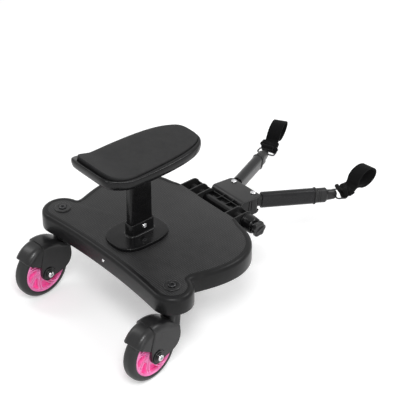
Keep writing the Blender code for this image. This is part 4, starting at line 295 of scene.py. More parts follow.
def rim_mesh():
    """Both faces, the round land under the tyre and the two bearing seats, as one closed grid."""
    radius, angle, depth = rim_face()
    land = [RIM_RADIUS - 0.9, RIM_RADIUS]
    rows_r = np.concatenate([radius, land, land[::-1], radius[::-1], [HUB_BORE, WEB_BORE, WEB_BORE, HUB_BORE]])
    web = WEB_DROP * np.interp(radius, [SLOT_INNER - 2, SLOT_INNER, RING_FOOT, RING_EDGE], [0, 1, 1, 0])
    face = RIM_HALF - web[:, None] - WINDOW_DEPTH * depth
    lips = np.array([[RIM_HALF - 0.3], [RIM_HALF - 1.2]])
    flat = np.ones(angle.shape[1])
    rows_x = np.vstack([face, lips * flat, -lips[::-1] * flat, -face[::-1],
                        np.outer([-LAND, -LAND, LAND, LAND], flat)])
    rows_a = np.vstack([angle, np.repeat(angle[-1:], 4, 0), angle[::-1], np.repeat(angle[:1], 4, 0)])
    level = np.zeros((4, len(flat)))
    recess_shade = np.vstack([depth, level, depth[::-1], level])
    points = np.stack([rows_x, rows_r[:, None] * np.cos(rows_a), rows_r[:, None] * np.sin(rows_a)], -1)
    mesh = grid_mesh("rim", points, along=True)
    # The recess share marks windows and slots for the finish, which paints them darker there: painted shade of the
    # hollows.
    mesh.attributes.new("recess", "FLOAT", "POINT").data.foreach_set("value", recess_shade.ravel())
    return mesh


pair("rim_*_pinwheel", rim_mesh(), WHEELS, "wheel_*", "pink_plastic", "rim_*", sharp=30)
print("rim grid", rim_face()[1].shape)

# %% [markdown]
# ## Caster forks
# Each fork is one moulding: a round neck that flares into the cheeks, a crown over the wheel
# whose sides run down to the axle, and a lower fender behind it. A subdivision cage could be
# pulled into this shape, but its radii would only be close. Slices across the wheel give the
# crown and the fender their measured curves, and exact Booleans join them, keep the crisp step
# between them and open the well for the wheel.

# %% Rounded profiles
def rounded(profile, reach, parts=4, closed=False):
    """Round each corner p of a profile with the parabola (1-t)^2 a + 2t(1-t) p + t^2 b, where a and b
    lie `reach` before and after the corner, at most 0.45 of the way to the next one."""
    points = np.asarray(profile, float)
    before = np.roll(points, 1, axis=0) - points
    after = np.roll(points, -1, axis=0) - points
    long_before = np.linalg.norm(before, axis=1, keepdims=True)
    long_after = np.linalg.norm(after, axis=1, keepdims=True)
    most = 0.45 * np.minimum(long_before, long_after)
    size = np.minimum(np.broadcast_to(reach, len(points))[:, None], most)
    start = points + before / long_before * size
    end = points + after / long_after * size
    t = np.linspace(0, 1, parts + 1)[None, :, None]
    curve = (1 - t) ** 2 * start[:, None] + 2 * t * (1 - t) * points[:, None] + t ** 2 * end[:, None]
    if closed:
        return curve.reshape(-1, 2)
    return np.vstack([points[:1], curve[1:-1].reshape(-1, 2), points[-1:]])


# %% Curves for the fork
def super_ellipse(angle, power):
    """The curve |x|^p + |y|^p = 1 by angle: a circle at p = 2, nearly a square at p = 9."""
    c, s = np.cos(angle), np.sin(angle)
    return np.sign(c) * np.abs(c) ** (2 / power), np.sign(s) * np.abs(s) ** (2 / power)


def arc(centre, radius, start, end, count):
    """Points (centre + radius * cos a, radius * sin a) between two angles in degrees."""
    turn = np.radians(np.linspace(start, end, count))
    return np.stack([centre + radius * np.cos(turn), radius * np.sin(turn)], -1)


def bezier(a, b, c, d, count):
    """Cubic curve (1-t)^3 a + 3t(1-t)^2 b + 3t^2(1-t) c + t^3 d, the first point left out."""
    t = (np.arange(count) + 1)[:, None] / count
    return (1 - t) ** 3 * a + 3 * t * (1 - t) ** 2 * b + 3 * t * t * (1 - t) * c + t ** 3 * d


def lifted(rings, z):
    """Give rings of (x, y) their third coordinate: one value for each ring, or one for each point."""
    z = np.reshape(z, (len(rings), -1, 1))
    return np.concatenate([rings, np.broadcast_to(z, rings.shape[:2] + (1,))], -1)


# %% Crown and fender
FORK_HALF, FORK_EDGE = 21.8, 12.5
FENDER_RADIUS = WHEEL_RADIUS + 6.0
CROWN_RADIUS = FENDER_RADIUS + 2.4
SKIRT = 32.5
NECK_TOP = DECK_TOP - SKIRT - 3.1
BOSS_RADIUS = 14.4


def fork_fall(x, half):
    """Drop of the top at x: zero in the middle and a quarter circle of radius FORK_EDGE at the sides."""
    side = np.clip(np.abs(x) - (half - FORK_EDGE), 0, FORK_EDGE)
    return FORK_EDGE - np.sqrt(FORK_EDGE ** 2 - side ** 2)


def fork_slices(half):
    """Places of the slices: closer together as the top turns down."""
    out = half - FORK_EDGE + FORK_EDGE * np.sin(np.radians(np.linspace(0, 90, 13)))
    return np.concatenate([-out[::-1], out])


def over_wheel(x, half, outer, first, last, count):
    """Arc over the wheel from one angle to another, for all slices at once; its front is tucked in."""
    angle = np.pi - np.radians(np.linspace(first, last, count))[None]
    tuck = 2.3 * np.clip((np.degrees(angle) - 112) / 27, 0, None) ** 1.5
    radius = (outer - fork_fall(x, half))[:, None] - tuck
    return np.stack([-TRAIL + radius * np.cos(angle), AXLE_Z + radius * np.sin(angle)], -1)


def spot(x, y, up):
    """One point for each slice, at y and at a height over the axle."""
    return np.stack([y + 0 * x, AXLE_Z + up + 0 * x], -1)[:, None]


def cheek_edge(x):
    """Front edge, round boss and rear edge of the cheeks, below the crown."""
    front = -3 + 8 * (1 - (x / FORK_HALF) ** 2)
    knee = spot(x, front, 22)
    shin = bezier(knee, spot(x, front, 6), spot(x, -10, -3), spot(x, -24, -6.5), 12)
    boss = arc(-TRAIL, BOSS_RADIUS, -52, -176, 20) + (0, AXLE_Z)
    boss = np.broadcast_to(boss, (len(x),) + boss.shape)
    return np.concatenate([spot(x, front - 1, 34), knee, shin, boss, spot(x, -TRAIL - 15, 20)], 1)


def fender_edge(x, half):
    """Underside of the fender up to its turned-in rear tip."""
    fall = fork_fall(x, half)
    radius = FENDER_RADIUS - fall - 4.5
    angle = np.pi - np.radians(38.5 + 3.5 * fall / FORK_EDGE)
    tip = spot(x, -TRAIL + radius * np.cos(angle), radius * np.sin(angle))
    return np.concatenate([spot(x, -TRAIL - 4.5, 17.8), spot(x, -TRAIL - 15, 17.8), tip], 1)


def neck_flare():
    """Rings from the round neck to the width of the cheeks: |x/a|^p + |y/b|^p = 1, where a, b and p ease over."""
    t = np.linspace(0, 1, 18)[:, None]
    ease = t * t * (3 - 2 * t)
    angle = np.linspace(0, 2 * np.pi, 80, endpoint=False)[None]
    x, y = super_ellipse(angle, 2 + 1.6 * ease)
    rings = np.stack([(14.5 + 7.0 * ease) * x, -11.5 * ease + (14.5 - 2.5 * ease) * y], -1)
    return grid_mesh("flare", lifted(rings, NECK_TOP - 9 + (78 - NECK_TOP + 9) * t), caps="flat")


# %% Booleans
def solid(mesh):
    """A closed mesh as an object, which a Boolean needs."""
    return link_object(mesh.name, close(mesh))


def sliced(name, x, *outlines):
    """A solid from slices: outlines in the (y, z) plane, joined end to end, at their x places."""
    points = lifted(np.concatenate(outlines, 1), x)[..., [2, 0, 1]]
    return solid(grid_mesh(name, points, caps="flat"))


def axle_part(name, levels, steps, closed=False):
    """A solid round part on the axle from (radius, x) levels; an open set is closed on the axle."""
    rows = levels if closed else [(0, levels[0][1]), *levels, (0, levels[-1][1])]
    mesh = turned(name, rows, steps, "X", closed=closed)
    mesh.transform(at(0, -TRAIL, AXLE_Z))
    return solid(mesh)


def combine(target, tools, operation):
    """Join the tools to the target or cut them from it, one exact Boolean each."""
    for tool in tools:
        step = target.modifiers.new("combine", "BOOLEAN")
        step.operation = operation
        step.object = tool
        result = bpy.data.meshes.new_from_object(target.evaluated_get(bpy.context.evaluated_depsgraph_get()))
        target.modifiers.clear()
        target.data = result
        bpy.data.objects.remove(tool)


# %% Forks
def fork_mesh():
    """Crown, fender, flare and neck joined; a groove and a low pad round each axle end; then the wheel's well
    and the two bosses inside it."""
    x = fork_slices(FORK_HALF)
    crown = sliced("crown", x, over_wheel(x, FORK_HALF, CROWN_RADIUS, 83, 124, 24), cheek_edge(x))
    half = FORK_HALF - 1.2
    x = fork_slices(half)
    fender = sliced("fender", x, over_wheel(x, half, FENDER_RADIUS, 41, 95, 30), fender_edge(x, half))
    neck_rows = [(0, 74), (5.5, 74), (11.0, 86), (14.2, 100), (14.9, NECK_TOP - 8), (14.9, NECK_TOP), (0, NECK_TOP)]
    neck = solid(turned("neck", rounded(neck_rows, 4, 8), 96))
    combine(crown, [fender, solid(neck_flare()), neck], "UNION")
    grooves, pads, bosses = [], [], []
    for sign in (-1, 1):
        near, far, top = (sign * (FORK_HALF + out) for out in (-1.4, 4, 1.8))
        grooves.append(axle_part("groove", [(10.8, near), (13.4, near), (13.4, far), (10.8, far)], 72, True))
        pads.append(axle_part("pad", [(11.8, sign * (FORK_HALF - 3)), (11.8, top - sign * 0.5), (11.3, top)], 72))
        bosses.append([(6.8, sign * 17.3), (6.8, sign * (RIM_HALF + 0.3))])
    combine(crown, grooves, "DIFFERENCE")
    combine(crown, pads, "UNION")
    soft = FORK_EDGE - 3
    turn = np.radians(np.linspace(90, 0, 10))
    well = np.stack([WHEEL_RADIUS + 3 - soft * (1 - np.cos(turn)), 16.3 - soft * (1 - np.sin(turn))], -1)
    well = np.vstack([well * (1, -1), well[::-1]])
    combine(crown, [axle_part("well", well.tolist(), 128)], "DIFFERENCE")
    combine(crown, [axle_part("boss", levels, 40) for levels in bosses], "UNION")
    mesh = crown.data
    bpy.data.objects.remove(crown)
    return mesh


fork = fork_mesh()
pair("fork_*_moulding", fork, CASTERS, "caster_*", "fork_plastic", "fork_*", sharp=34)
print("fork faces", len(fork.polygons))

# %% [markdown]
# ## Bolts and caps
# Every visible screw has a low round head with a hexagon in it. The hexagon could be cut with a
# Boolean. One function turns them all instead: the rows of the profile that belong to the
# hexagon take the whole hexagon shape, so the head stays one regular grid.

# %% Bolts with a hexagon
def hexagon(angle):
    """Distance to a hexagon's side at an angle, when its flats are one unit away."""
    return 1 / np.cos(np.mod(angle, np.pi / 3) - np.pi / 6)


def hex_bolt(head, height, shank, length, socket, axis):
    """Rows from the shank's end over the rounded head and down into the hexagon."""
    edge = 0.30 * height
    rows = [(0, -length), (shank, -length), (shank, 0), (head, 0), (head, height - edge),
            (head - 1.6 * edge, height), (socket + 0.25, height)]
    rows = rounded(rows, [0, 0, 0, 0.3, 0.5 * edge, 0.8 * edge, 0], 4)
    rows = np.hstack([rows, np.zeros((len(rows), 1))])
    hole = [(socket, height - 0.25, 1), (socket, 0.35 * height, 1), (0, 0.22 * height, 1)]
    return turned("bolt", np.vstack([rows, hole]), 96, axis, hexagon)


# The kingpin heads take the dark blackened finish in place of bright steel: painted shade of the caps' recess around
# them.
pair("kingpin_*", hex_bolt(6.5, 3, 4, 71, 2.6, "Z"), LOBES, "deck", "black_wire", "kingpin_bolt_*",
     shift=(0, 0, DECK_TOP + 1.22))
pair("axle_*", hex_bolt(5.7, 4.2, 4, 53.5, 2.4, "X"), WHEELS, "caster_*", "bright_steel", "axle_bolt_*",
     shift=(FORK_HALF + 3.4, 0, 0))
pair("hub_screw_*", hex_bolt(5.2, 2.4, 3, 34, 2.9, "Z"), PIVOTS, "hub", "bright_steel", "cap_screw_*",
     shift=(0, 0, 14.1))
piece("collar_screw", hex_bolt(4.6, 2.6, 2.5, 27.4, 2.2, "X"), STAND @ at(11.6, 7, DECK_TOP + 22.5), "deck",
      "bright_steel", "collar_bolt")

# %% Caster caps
CAP_ROWS = rounded([(4.3, 0.3), (14.5, 0.3), (14.5, 1.5), (13.1, 2.3), (8.2, 2.3), (8.2, 0.92), (4.3, 0.92)],
                   0.5, 4, closed=True)
pair("cap_*", turned("cap", CAP_ROWS, 96, closed=True), LOBES, "deck", "black_plastic", "caster_cap_*",
     shift=(0, 0, DECK_TOP))
print("cap rows", len(CAP_ROWS))

# %% [markdown]
# ## Rolled edge of the board
# The board's top is grained, but its edge is smooth: it rolls over in a quarter circle and goes
# down the wall. A thin skin follows the outline (two round lobes over the casters, a shallow
# arc between them, a notch, a bulging side and a front corner) and leaves out the straight front
# with the hinge. A bevel would change the CAD mesh, which has to stay as it is. The skin is
# drawn finely, so the silhouette is a curve and not a polygon. A small bright rivet sits in
# the rear wall.

# %% Outline of the board
LOBE, REAR_DROP, ROLL, SKIN = 36.5, 27.5, 7.5, 0.4
NOTCH_X, NOTCH_Y = 155.5, 41.0
WIDE_X, WIDE_Y = 171.6, 120.0
FRONT_HALF, FRONT_Y = 72.5, 206.8
REAR_FAR = (KINGPIN_X ** 2 + REAR_DROP ** 2 - LOBE ** 2) / (2 * (LOBE - REAR_DROP))


def board_outline():
    """The right half of the outline from the rear middle to the front corner."""
    centre = REAR_DROP + REAR_FAR
    swing = np.arctan2(KINGPIN_X, centre) * (1 - LOBE / (REAR_FAR + LOBE))
    a = np.linspace(0, swing, 24)
    rear = np.stack([REAR_FAR * np.sin(a), -centre + REAR_FAR * np.cos(a)], -1)
    b = np.linspace(np.arctan2(-centre, -KINGPIN_X), np.arccos((NOTCH_X - KINGPIN_X) / LOBE), 72)
    lobe = np.stack([KINGPIN_X + LOBE * np.cos(b), LOBE * np.sin(b)], -1)
    side = bezier((NOTCH_X, NOTCH_Y), (159.53, 58.38), (WIDE_X, 85.24), (WIDE_X, WIDE_Y), 24)
    bend = bezier((WIDE_X, WIDE_Y), (WIDE_X, 161.66), (144.35, FRONT_Y), (FRONT_HALF, FRONT_Y), 40)
    inner = np.array([NOTCH_X, lobe[-1, 1]])
    fillet = bezier(lobe[-4], inner + (0.3, 0), inner + (0, 0.3), side[0], 16)
    return np.vstack([rear[1:], lobe[1:-3], fillet, side[1:], bend])


def drawn_in(line, amount):
    """An open line moved inwards along its mitres by its own amount at each point."""
    step = np.diff(line, axis=0)
    normal = np.stack([-step[:, 1], step[:, 0]], -1)
    normal /= np.linalg.norm(normal, axis=1, keepdims=True)
    before, after = np.vstack([normal[:1], normal]), np.vstack([normal, normal[-1:]])
    mitre = (before + after) / (1 + (before * after).sum(1, keepdims=True))
    return line[:, None] + mitre[:, None] * amount[..., None]


# %% Rolled edge and rivet
def board_edge_mesh():
    """Across the edge the skin goes from the top over the roll and down the wall, and comes back inside the
    board. The roll eases to a fifth of its radius where the straight front begins."""
    half = board_outline()
    line = np.vstack([half[::-1] * (-1, 1), [[0, -REAR_DROP]], half])
    share = np.clip((np.abs(line[:, 0]) - FRONT_HALF) / 22, 0, 1)
    weight = np.where(line[:, 1] < FRONT_Y - 20, 1.0, 0.2 + 0.8 * share ** 2 * (3 - 2 * share))
    radius = ROLL * weight[:, None]

    def roll(grow, turn):
        return radius - (radius + grow) * np.cos(turn), (radius + grow) * np.sin(turn) - radius

    turn = np.radians(np.linspace(90, 0, 14))[None]
    steps = [(radius + 3.6, -0.5), (radius + 3.5, 0.1), (radius + 3.1, SKIN), roll(SKIN, turn), (-SKIN, 0.5 - SKIRT),
             (-0.2, -0.1 - SKIRT), (0.9, 0.1 - SKIRT), roll(-1, turn[:, ::-1]), (radius + 3.4, -0.8)]
    inwards, drop = (np.hstack([step[k] + 0 * radius for step in steps]) for k in (0, 1))
    return grid_mesh("board_edge", lifted(drawn_in(line, inwards), DECK_TOP + drop), caps="flat")


# The skin's finish is smooth and darker than the board it covers: painted shade on the rolled edge and the wall.
piece("board_edge", board_edge_mesh(), BOARD, "deck", "shaded_edge_plastic", sharp=30)
RIVET_ROWS = rounded([(0, -1.0), (3.0, -1.0), (3.0, 0.5), (2.1, 1.0), (0, 1.1)], 0.4, 4)
piece("wall_rivet", turned("rivet", RIVET_ROWS, 48, "Y"),
      BOARD @ at(1.2, -REAR_DROP - SKIN, DECK_TOP - 17.4) @ spin(180, "Z"), "deck", "bright_steel", sharp=40)
print("outline points", len(board_outline()))

# %% [markdown]
# ## Flange, post and collar
# The flange is a rounded square with a soft edge. A fillet leads up to the collar that takes
# the post, a rounded bar whose rear face leans back a little. Plate and collar could be two
# pieces with a bevel between them. As one grid, whose rings change from the plate's outline
# to the post's, the fillet has no seam.

# %% Flange
POST_WIDTH, POST_CORNER, POST_HEIGHT = 17.0, 5.2, 149.5
POST_FRONT, POST_REAR_TOP, POST_REAR_FOOT = 29.3, -15.0, -18.0
PLATE_X, PLATE_Y, PLATE_POWER, PLATE_TOP, COLLAR_TOP = 41.2, 54.5, 2.8, 7.1, 31.1


def half_steps(count):
    """Even angles round a circle that start half a step past zero."""
    return (np.arange(count) + 0.5) * 2 * np.pi / count


def section(width, height, corner, count):
    """A rectangle with round corners: the corner's centre plus corner * (cos a, sin a)."""
    angle = half_steps(count)
    width, height, corner = (np.asarray(v, float)[..., None] for v in (width, height, corner))
    x = np.sign(np.cos(angle)) * (width / 2 - corner) + corner * np.cos(angle)
    y = np.sign(np.sin(angle)) * (height / 2 - corner) + corner * np.sin(angle)
    return np.stack(np.broadcast_arrays(x, y), -1)


def post_rings(grow, rear, count):
    """Outline of the post grown by an amount, with its rear face at a given y."""
    front, back_y = POST_FRONT + grow, rear - grow
    rings = section(POST_WIDTH + 2 * grow, front - back_y, POST_CORNER + grow, count)
    return rings + np.stack([0 * front, (front + back_y) / 2], -1)[:, None]


def flange_mesh(count=144):
    """Rows of (margin, height) over the plate's round edge, then up the fillet and the collar and down inside."""
    edge = np.radians(np.linspace(0, 90, 7))
    bend = np.stack([0.3 + 1.4 * (1 - np.cos(edge)), 6.8 - 1.4 * (1 - np.sin(edge))], -1)
    outer = np.vstack([[(1.2, 0.3), (0.5, 0.6), (0.1, 2.6)], bend, [(6, PLATE_TOP)]])
    x, y = super_ellipse(half_steps(count), PLATE_POWER)
    plate = np.stack([(PLATE_X - outer[:, :1]) * x, (PLATE_Y - outer[:, :1]) * y], -1)
    fillet = np.radians(np.linspace(0, 90, 8))
    wall = np.stack([2.8 + 3.6 * (1 - np.sin(fillet)), PLATE_TOP + 3.6 * (1 - np.cos(fillet))], -1)
    inner = np.vstack([wall, [(2.8, COLLAR_TOP - 1), (2.6, COLLAR_TOP - 0.4), (2.0, COLLAR_TOP), (0.5, COLLAR_TOP),
                              (0.3, COLLAR_TOP - 0.3), (0.3, 6.4)]])
    collar = post_rings(inner[:, 0], POST_REAR_FOOT + 0 * inner[:, 0], count)
    height = DECK_TOP + np.concatenate([outer[:, 1], inner[:, 1]])
    return grid_mesh("flange", lifted(np.vstack([plate, collar]), height), caps="flat")


def post_mesh(count=96):
    """Three outlines of the bar; the rear face is upright in the collar and leans from there to the top."""
    level = np.array([6.7, COLLAR_TOP, POST_HEIGHT])
    rear = np.interp(level, [COLLAR_TOP, POST_HEIGHT], [POST_REAR_FOOT, POST_REAR_TOP])
    return grid_mesh("post", lifted(post_rings(0 * level, rear, count), DECK_TOP + level), caps="flat")


piece("seat_base", flange_mesh(), STAND, "deck", "satin_black", "seat_flange", sharp=50)
piece("post_bar", post_mesh(), STAND, "deck", "satin_black", "seat_post")
print("post top", DECK_TOP + POST_HEIGHT)

# %% [markdown]
# ## Saddle
# The shell is a glossy tray with a narrow lip, a tall wall and an upturned tail. Its rings go
# from the recess outwards over the rim and back in under the seat. Each ring is an egg-shaped
# outline: a super-ellipse that is squarer at the tail and tapers a little at both ends. The
# tray could be sculpted, but with a formula its recess and the pad in it fit each other.

# %% Seat outlines
SEAT_WIDE_Y = -18.0
RIM_Z = DECK_TOP + POST_HEIGHT - 7.6 + 19
TAIL_START = -39.6


def egg(half, tail, nose, nose_power, tail_power, tapers, count=240):
    """Rings of an egg outline for arrays of half-width, tail and nose: |x|^p + |y|^p = 1 with its own p in
    front and behind, and a width that tapers towards both ends."""
    angle = half_steps(count)
    front = np.sin(angle) > 0
    x, y = super_ellipse(angle, np.where(front, nose_power, tail_power))
    half, tail, nose = (v[:, None] for v in (half, tail, nose))
    narrow = (1 - tapers[0] * np.clip(-y, 0, 1) ** 2) * (1 - tapers[1] * np.clip(y, 0, 1))
    long = np.where(front, nose - SEAT_WIDE_Y, SEAT_WIDE_Y - tail)
    return np.stack([half * x * narrow, SEAT_WIDE_Y + long * y], -1)


def shell_outline(margin):
    """The tray's outer egg, drawn in by a margin."""
    return egg(60.7 - margin, -100.0 + margin, 124.4 - margin, 3.2, 9.0, (0.15, 0.03))


def recess_outline(margin):
    """The egg that the pad lies in, drawn in by a margin."""
    return egg(52.7 - margin, -91.3 + margin, 121.9 - margin, 3.4, 5.9, (0.04, 0.10))


def tail_rise(y):
    """Height that the upturned tail adds along the seat."""
    return 17 * np.clip((TAIL_START - y) / 60.4, 0, None) ** 1.7


def pad_rise(y):
    """What the pad adds over the tail."""
    return 4.8 * np.clip((TAIL_START - y) / 51.7, 0, None) ** 2


def flowing(points, count):
    """Catmull-Rom curve through a few points, sampled evenly between each two."""
    p = np.asarray(points, float)
    p = np.vstack([2 * p[0] - p[1], p, 2 * p[-1] - p[-2]])
    t = np.linspace(0, 1, count, endpoint=False)[None, :, None]
    a, b, c, d = (p[k:len(p) - 3 + k, None] for k in range(4))
    curve = 0.5 * (2 * b + (c - a) * t + (2 * a - 5 * b + 4 * c - d) * t ** 2 + (3 * b - a - 3 * c + d) * t ** 3)
    return np.vstack([curve.reshape(-1, p.shape[1]), p[-2:-1]])


# %% Seat shell
def shell_points():
    """Profile rows hold the share of the way from recess to outline, the margin under the seat and the drop."""
    rim = flowing([(0.10, 0, 0), (0.50, 0, 0.15), (0.78, 0, 0.8), (0.93, 0, 2.3), (0.99, 0, 4.6), (1, 0, 8),
                   (1, 0.9, 13.2), (1, 2.4, 16.4), (1, 6, 18.6), (1, 14, 19)], 6)
    rows = np.vstack([[(0, 0, 3.0), (0, 0, 0.9), (0.02, 0, 0.3)], rim])
    inner = recess_outline(np.zeros(len(rows)))
    flat = inner + (shell_outline(rows[:, 1]) - inner) * rows[:, None, :1]
    return lifted(flat, RIM_Z - rows[:, 2:3] + tail_rise(flat[..., 1]))


piece("seat_tray", grid_mesh("tray", shell_points(), caps="strips"), STAND, "deck", "seat_plastic", "seat_shell",
      sharp=50)

# %% [markdown]
# ## Seat pad
# The pad is moulded foam in the tray: a low crown with a rounded edge that stands a little
# proud of the rim, and a tail that follows the tray up. It is firm, so it is worked out from
# a formula and not blown up with a cloth simulation.

# %% Pad
PAD_EDGE, PAD_SIDE = 2.2, 6.5


def pad_points():
    """Rings by margin from the edge inwards; height is a rounded edge, then a crown that levels out. The last
    column says how much of the pad's own tail rise a ring takes."""
    turn = np.radians(np.linspace(0, 90, 8))
    bend = np.stack([0.6 + PAD_EDGE * (1 - np.cos(turn)), PAD_SIDE - PAD_EDGE * (1 - np.sin(turn)), np.ones(8)], -1)
    margin = np.array([4.5, 6.5, *range(9, 46, 3)])
    crown = 2.2 * (1 - np.exp(-(margin - 2.8) / 9))
    top = np.stack([margin, PAD_SIDE + crown, np.ones(len(margin))], -1)
    rows = np.vstack([[(20, 0, 0), (2, 0, 0), (0.6, 1.2, 0)], bend, top])
    flat = recess_outline(rows[:, 0])
    rise = tail_rise(flat[..., 1]) + rows[:, 2:] * pad_rise(flat[..., 1])
    return lifted(flat, RIM_Z - 2.7 + rows[:, 1:2] + rise)


pad = piece("seat_pad_foam", grid_mesh("pad", pad_points(), caps="strips"), STAND, "deck", "pad_foam", "seat_pad",
            sharp=60)
print("pad points", len(pad.data.vertices))

# %% [markdown]
# ## Hinge
# A barrel with a groove stands at the right end of the hinge axle, and a fluted star knob with
# a slanting grip bar clamps it. The flutes could be cut one by one. A wave of six on the
# radius of a turned part makes them all at once.

# %% Barrel and knob
BARREL_START, BARREL_LENGTH = 72.8, 24.0
KNOB_START = BARREL_START + BARREL_LENGTH + 1.8
BARREL_ROWS = rounded([(4.3, 0), (15.1, 0), (15.8, 0.8), (15.8, 2.8), (14.6, 3.2), (14.6, 4.4), (15.8, 4.8),
                       (14.8, 21.8), (13.3, BARREL_LENGTH), (4.3, BARREL_LENGTH)], 0.5, 4, closed=True)
KNOB_ROWS = [(0, 0, 1), (8.6, 0, 1), (9.9, 1.6, 1), (12.2, 3.0, 1), (13.5, 4.2, 1), (13.8, 5.2, 1), (13.8, 9.0, 1),
             (13.5, 10.2, 1), (12.7, 11.2, 1), (11.4, 11.8, 0.9), (9.8, 12.0, 0.7), (6.4, 12.0, 0.3),
             (5.9, 11.5, 0.1), (0, 11.5, 0)]


def star(angle):
    """Six soft flutes: 1 + wave, sharpened at the lobes' edges."""
    wave = np.cos(6 * angle)
    return 1 + 0.07 * np.sign(wave) * np.abs(wave) ** 0.75


def grip_mesh():
    """A low bar across the knob's face: a rounded section carried along its length, lower at both ends."""
    t = np.linspace(-1, 1, 30)
    ends = np.sqrt(np.clip(1 - np.abs(t) ** 6, 0.02, 1))
    ring = section(4.6 * (0.4 + 0.6 * ends), 3.0 * (0.3 + 0.7 * ends), 0.9 * ends, 24)
    turn = np.radians(21)
    along = np.array([0, np.cos(turn), np.sin(turn)])
    across = np.array([0, -np.sin(turn), np.cos(turn)])
    points = 10.2 * t[:, None, None] * along + ring[..., :1] * across + ring[..., 1:] * np.array([1, 0, 0])
    return grid_mesh("grip", points + (KNOB_START + 11.6, 0, 0), caps="flat")


piece("barrel", turned("barrel", BARREL_ROWS, 128, "X", closed=True, centre=BARREL_START), HINGE, "deck",
      "satin_black", "lock_barrel")
piece("star_knob", turned("knob", KNOB_ROWS, 144, "X", star, centre=KNOB_START), HINGE, "knob", "black_plastic",
      "lock_knob", sharp=48)
piece("knob_grip", grip_mesh(), HINGE, "knob", "black_plastic", sharp=50)
print("knob starts at", KNOB_START)

# %% [markdown]
# ## Hub cap
# The cap is one plate whose rear edge rolls down over the hinge. Its path goes up the roll,
# along the flat top and over the front edge. A thin section with round sides is carried along
# it, and gets narrower where the front corners are rounded. A bevelled box has no such roll,
# and this plate has the same thickness all along it. It overhangs the housing by a hair,
# which draws the fine line under its edge.

# %% Hub cap
CAP_REAR, CAP_TOP, CAP_FRONT = 18.1, 13.8, 67.8
CAP_ROLL, CAP_THICK, CAP_HALF, CAP_CORNER = 7.5, 2.6, 39.9, 6.5


def cap_path():
    """Outer line of the cap from the rear lip over the roll to the front, with its outward direction."""
    turn = np.radians(np.linspace(180, 90, 14))
    roll = np.stack([CAP_REAR + CAP_ROLL * (1 + np.cos(turn)), CAP_TOP - CAP_ROLL * (1 - np.sin(turn))], -1)
    ahead = np.linspace(CAP_REAR + CAP_ROLL, CAP_FRONT - CAP_CORNER, 10)[1:]
    bow = CAP_FRONT - CAP_CORNER * (1 - np.sin(np.radians(np.linspace(0, 82, 12))[1:]))
    flat = np.stack(np.broadcast_arrays(np.concatenate([ahead, bow]), CAP_TOP), -1)
    line = np.vstack([roll, flat])
    ahead = np.gradient(line, axis=0)
    ahead /= np.linalg.norm(ahead, axis=1, keepdims=True)
    return line, np.stack([-ahead[:, 1], ahead[:, 0]], -1)


def hub_cap_mesh():
    """Sections under the path: full width c + r, then c + sqrt(r^2 - d^2) at a distance d into the corner r."""
    line, out = cap_path()
    past = np.clip(line[:, 0] - (CAP_FRONT - CAP_CORNER), 0, CAP_CORNER)
    half = CAP_HALF - CAP_CORNER + np.sqrt(CAP_CORNER ** 2 - past ** 2)
    rings = section(2 * half, CAP_THICK, 0.75, 56)
    yz = line[:, None] + (rings[..., 1:] - CAP_THICK / 2) * out[:, None]
    return grid_mesh("hub_cap", np.concatenate([rings[..., :1], yz], -1), caps="flat")


piece("hub_cover", hub_cap_mesh(), HUB, "hub", "black_plastic", "hub_cap", sharp=40)
print("cover reaches", CAP_FRONT)

# %% [markdown]
# ## Arms
# Each arm is an oval tube in a collar, with a thinner tube inside that carries the end cap.
# A curve with a bevel object also makes tubes. Ovals set out along the arm need only a list of
# widths and heights, which takes in walls, bores, grooves and the sloping tip.

# %% Arm tubes, collars and end caps
ARM_LENGTH, COLLAR_LENGTH = 118.0, 3.2
TUBE_W, TUBE_H = 19.0, 31.0
SLIDE_W, SLIDE_H = 12.4, 24.4
CAP_START = ARM_LENGTH + COLLAR_LENGTH + 0.6
BODY_END = CAP_START + 21.5
TIP_END = BODY_END + 20


def oval_loft(name, levels, closed=False, count=64):
    """Tall ovals of (width, height, y) along the arm's axis; an oval is a section whose corner is half its width."""
    levels = np.asarray(levels, float)
    rings = section(levels[:, 0], levels[:, 1], levels[:, 0] / 2, count) + (0, ARM_AXIS_Z)
    return grid_mesh(name, lifted(rings, levels[:, 2])[..., [0, 2, 1]], along=closed, caps=None if closed else "flat")


def tube_levels(width, height, wall, start, end):
    """Outer rings with eased ends and the bore behind them, as one closed set."""
    levels = [(0.7, start), (0, start + 0.35), (0, end - 0.35), (0.7, end), (2 * wall, end), (2 * wall, start)]
    return [(width - less, height - less, y) for less, y in levels]


def collar_levels():
    """A sleeve inside the tube and a raised ring outside it."""
    face = ARM_LENGTH + 0.3
    turn = np.radians(np.linspace(0, 180, 9))
    bulge = 2.8 * np.sin(turn)
    ring = np.stack([TUBE_W + bulge, TUBE_H + bulge, face + COLLAR_LENGTH / 2 * (1 - np.cos(turn))], -1)
    sleeve = [(0.8, face - 18), (3.0, face - 18), (3.0, face)]
    inside = [(SLIDE_W + more, SLIDE_H + more, y) for more, y in [*sleeve, (0.8, face + COLLAR_LENGTH)]]
    return np.vstack([inside[:3], ring, inside[3:]])


def cap_levels():
    """Spigot, body with two grooves, sloping shoulder and the narrow tip that holds the ring."""
    wide, tall = 17.6, 29.0
    rows = [(SLIDE_W - 3.2, SLIDE_H - 3.2, CAP_START - 12), (SLIDE_W - 3.2, SLIDE_H - 3.2, CAP_START)]
    body = [(0.5, 0), (0, 0.5)]
    for groove in (3.5, 7.0):
        body += [(0, groove - 0.2), (1.2, groove + 0.2), (1.2, groove + 1.0), (0, groove + 1.4)]
    rows += [(wide - less, tall - less, CAP_START + y) for less, y in body]
    tail = flowing([(wide, tall, BODY_END - 3.4), (wide - 0.1, tall - 0.2, BODY_END - 2.2), (16, 24, BODY_END),
                    (15, 21, BODY_END + 2), (13.35, 18.69, TIP_END - 6), (11.7, 15.2, TIP_END - 1.8),
                    (8.8, 11, TIP_END - 0.2), (4, 6, TIP_END)], 4)
    return np.vstack([rows, tail])


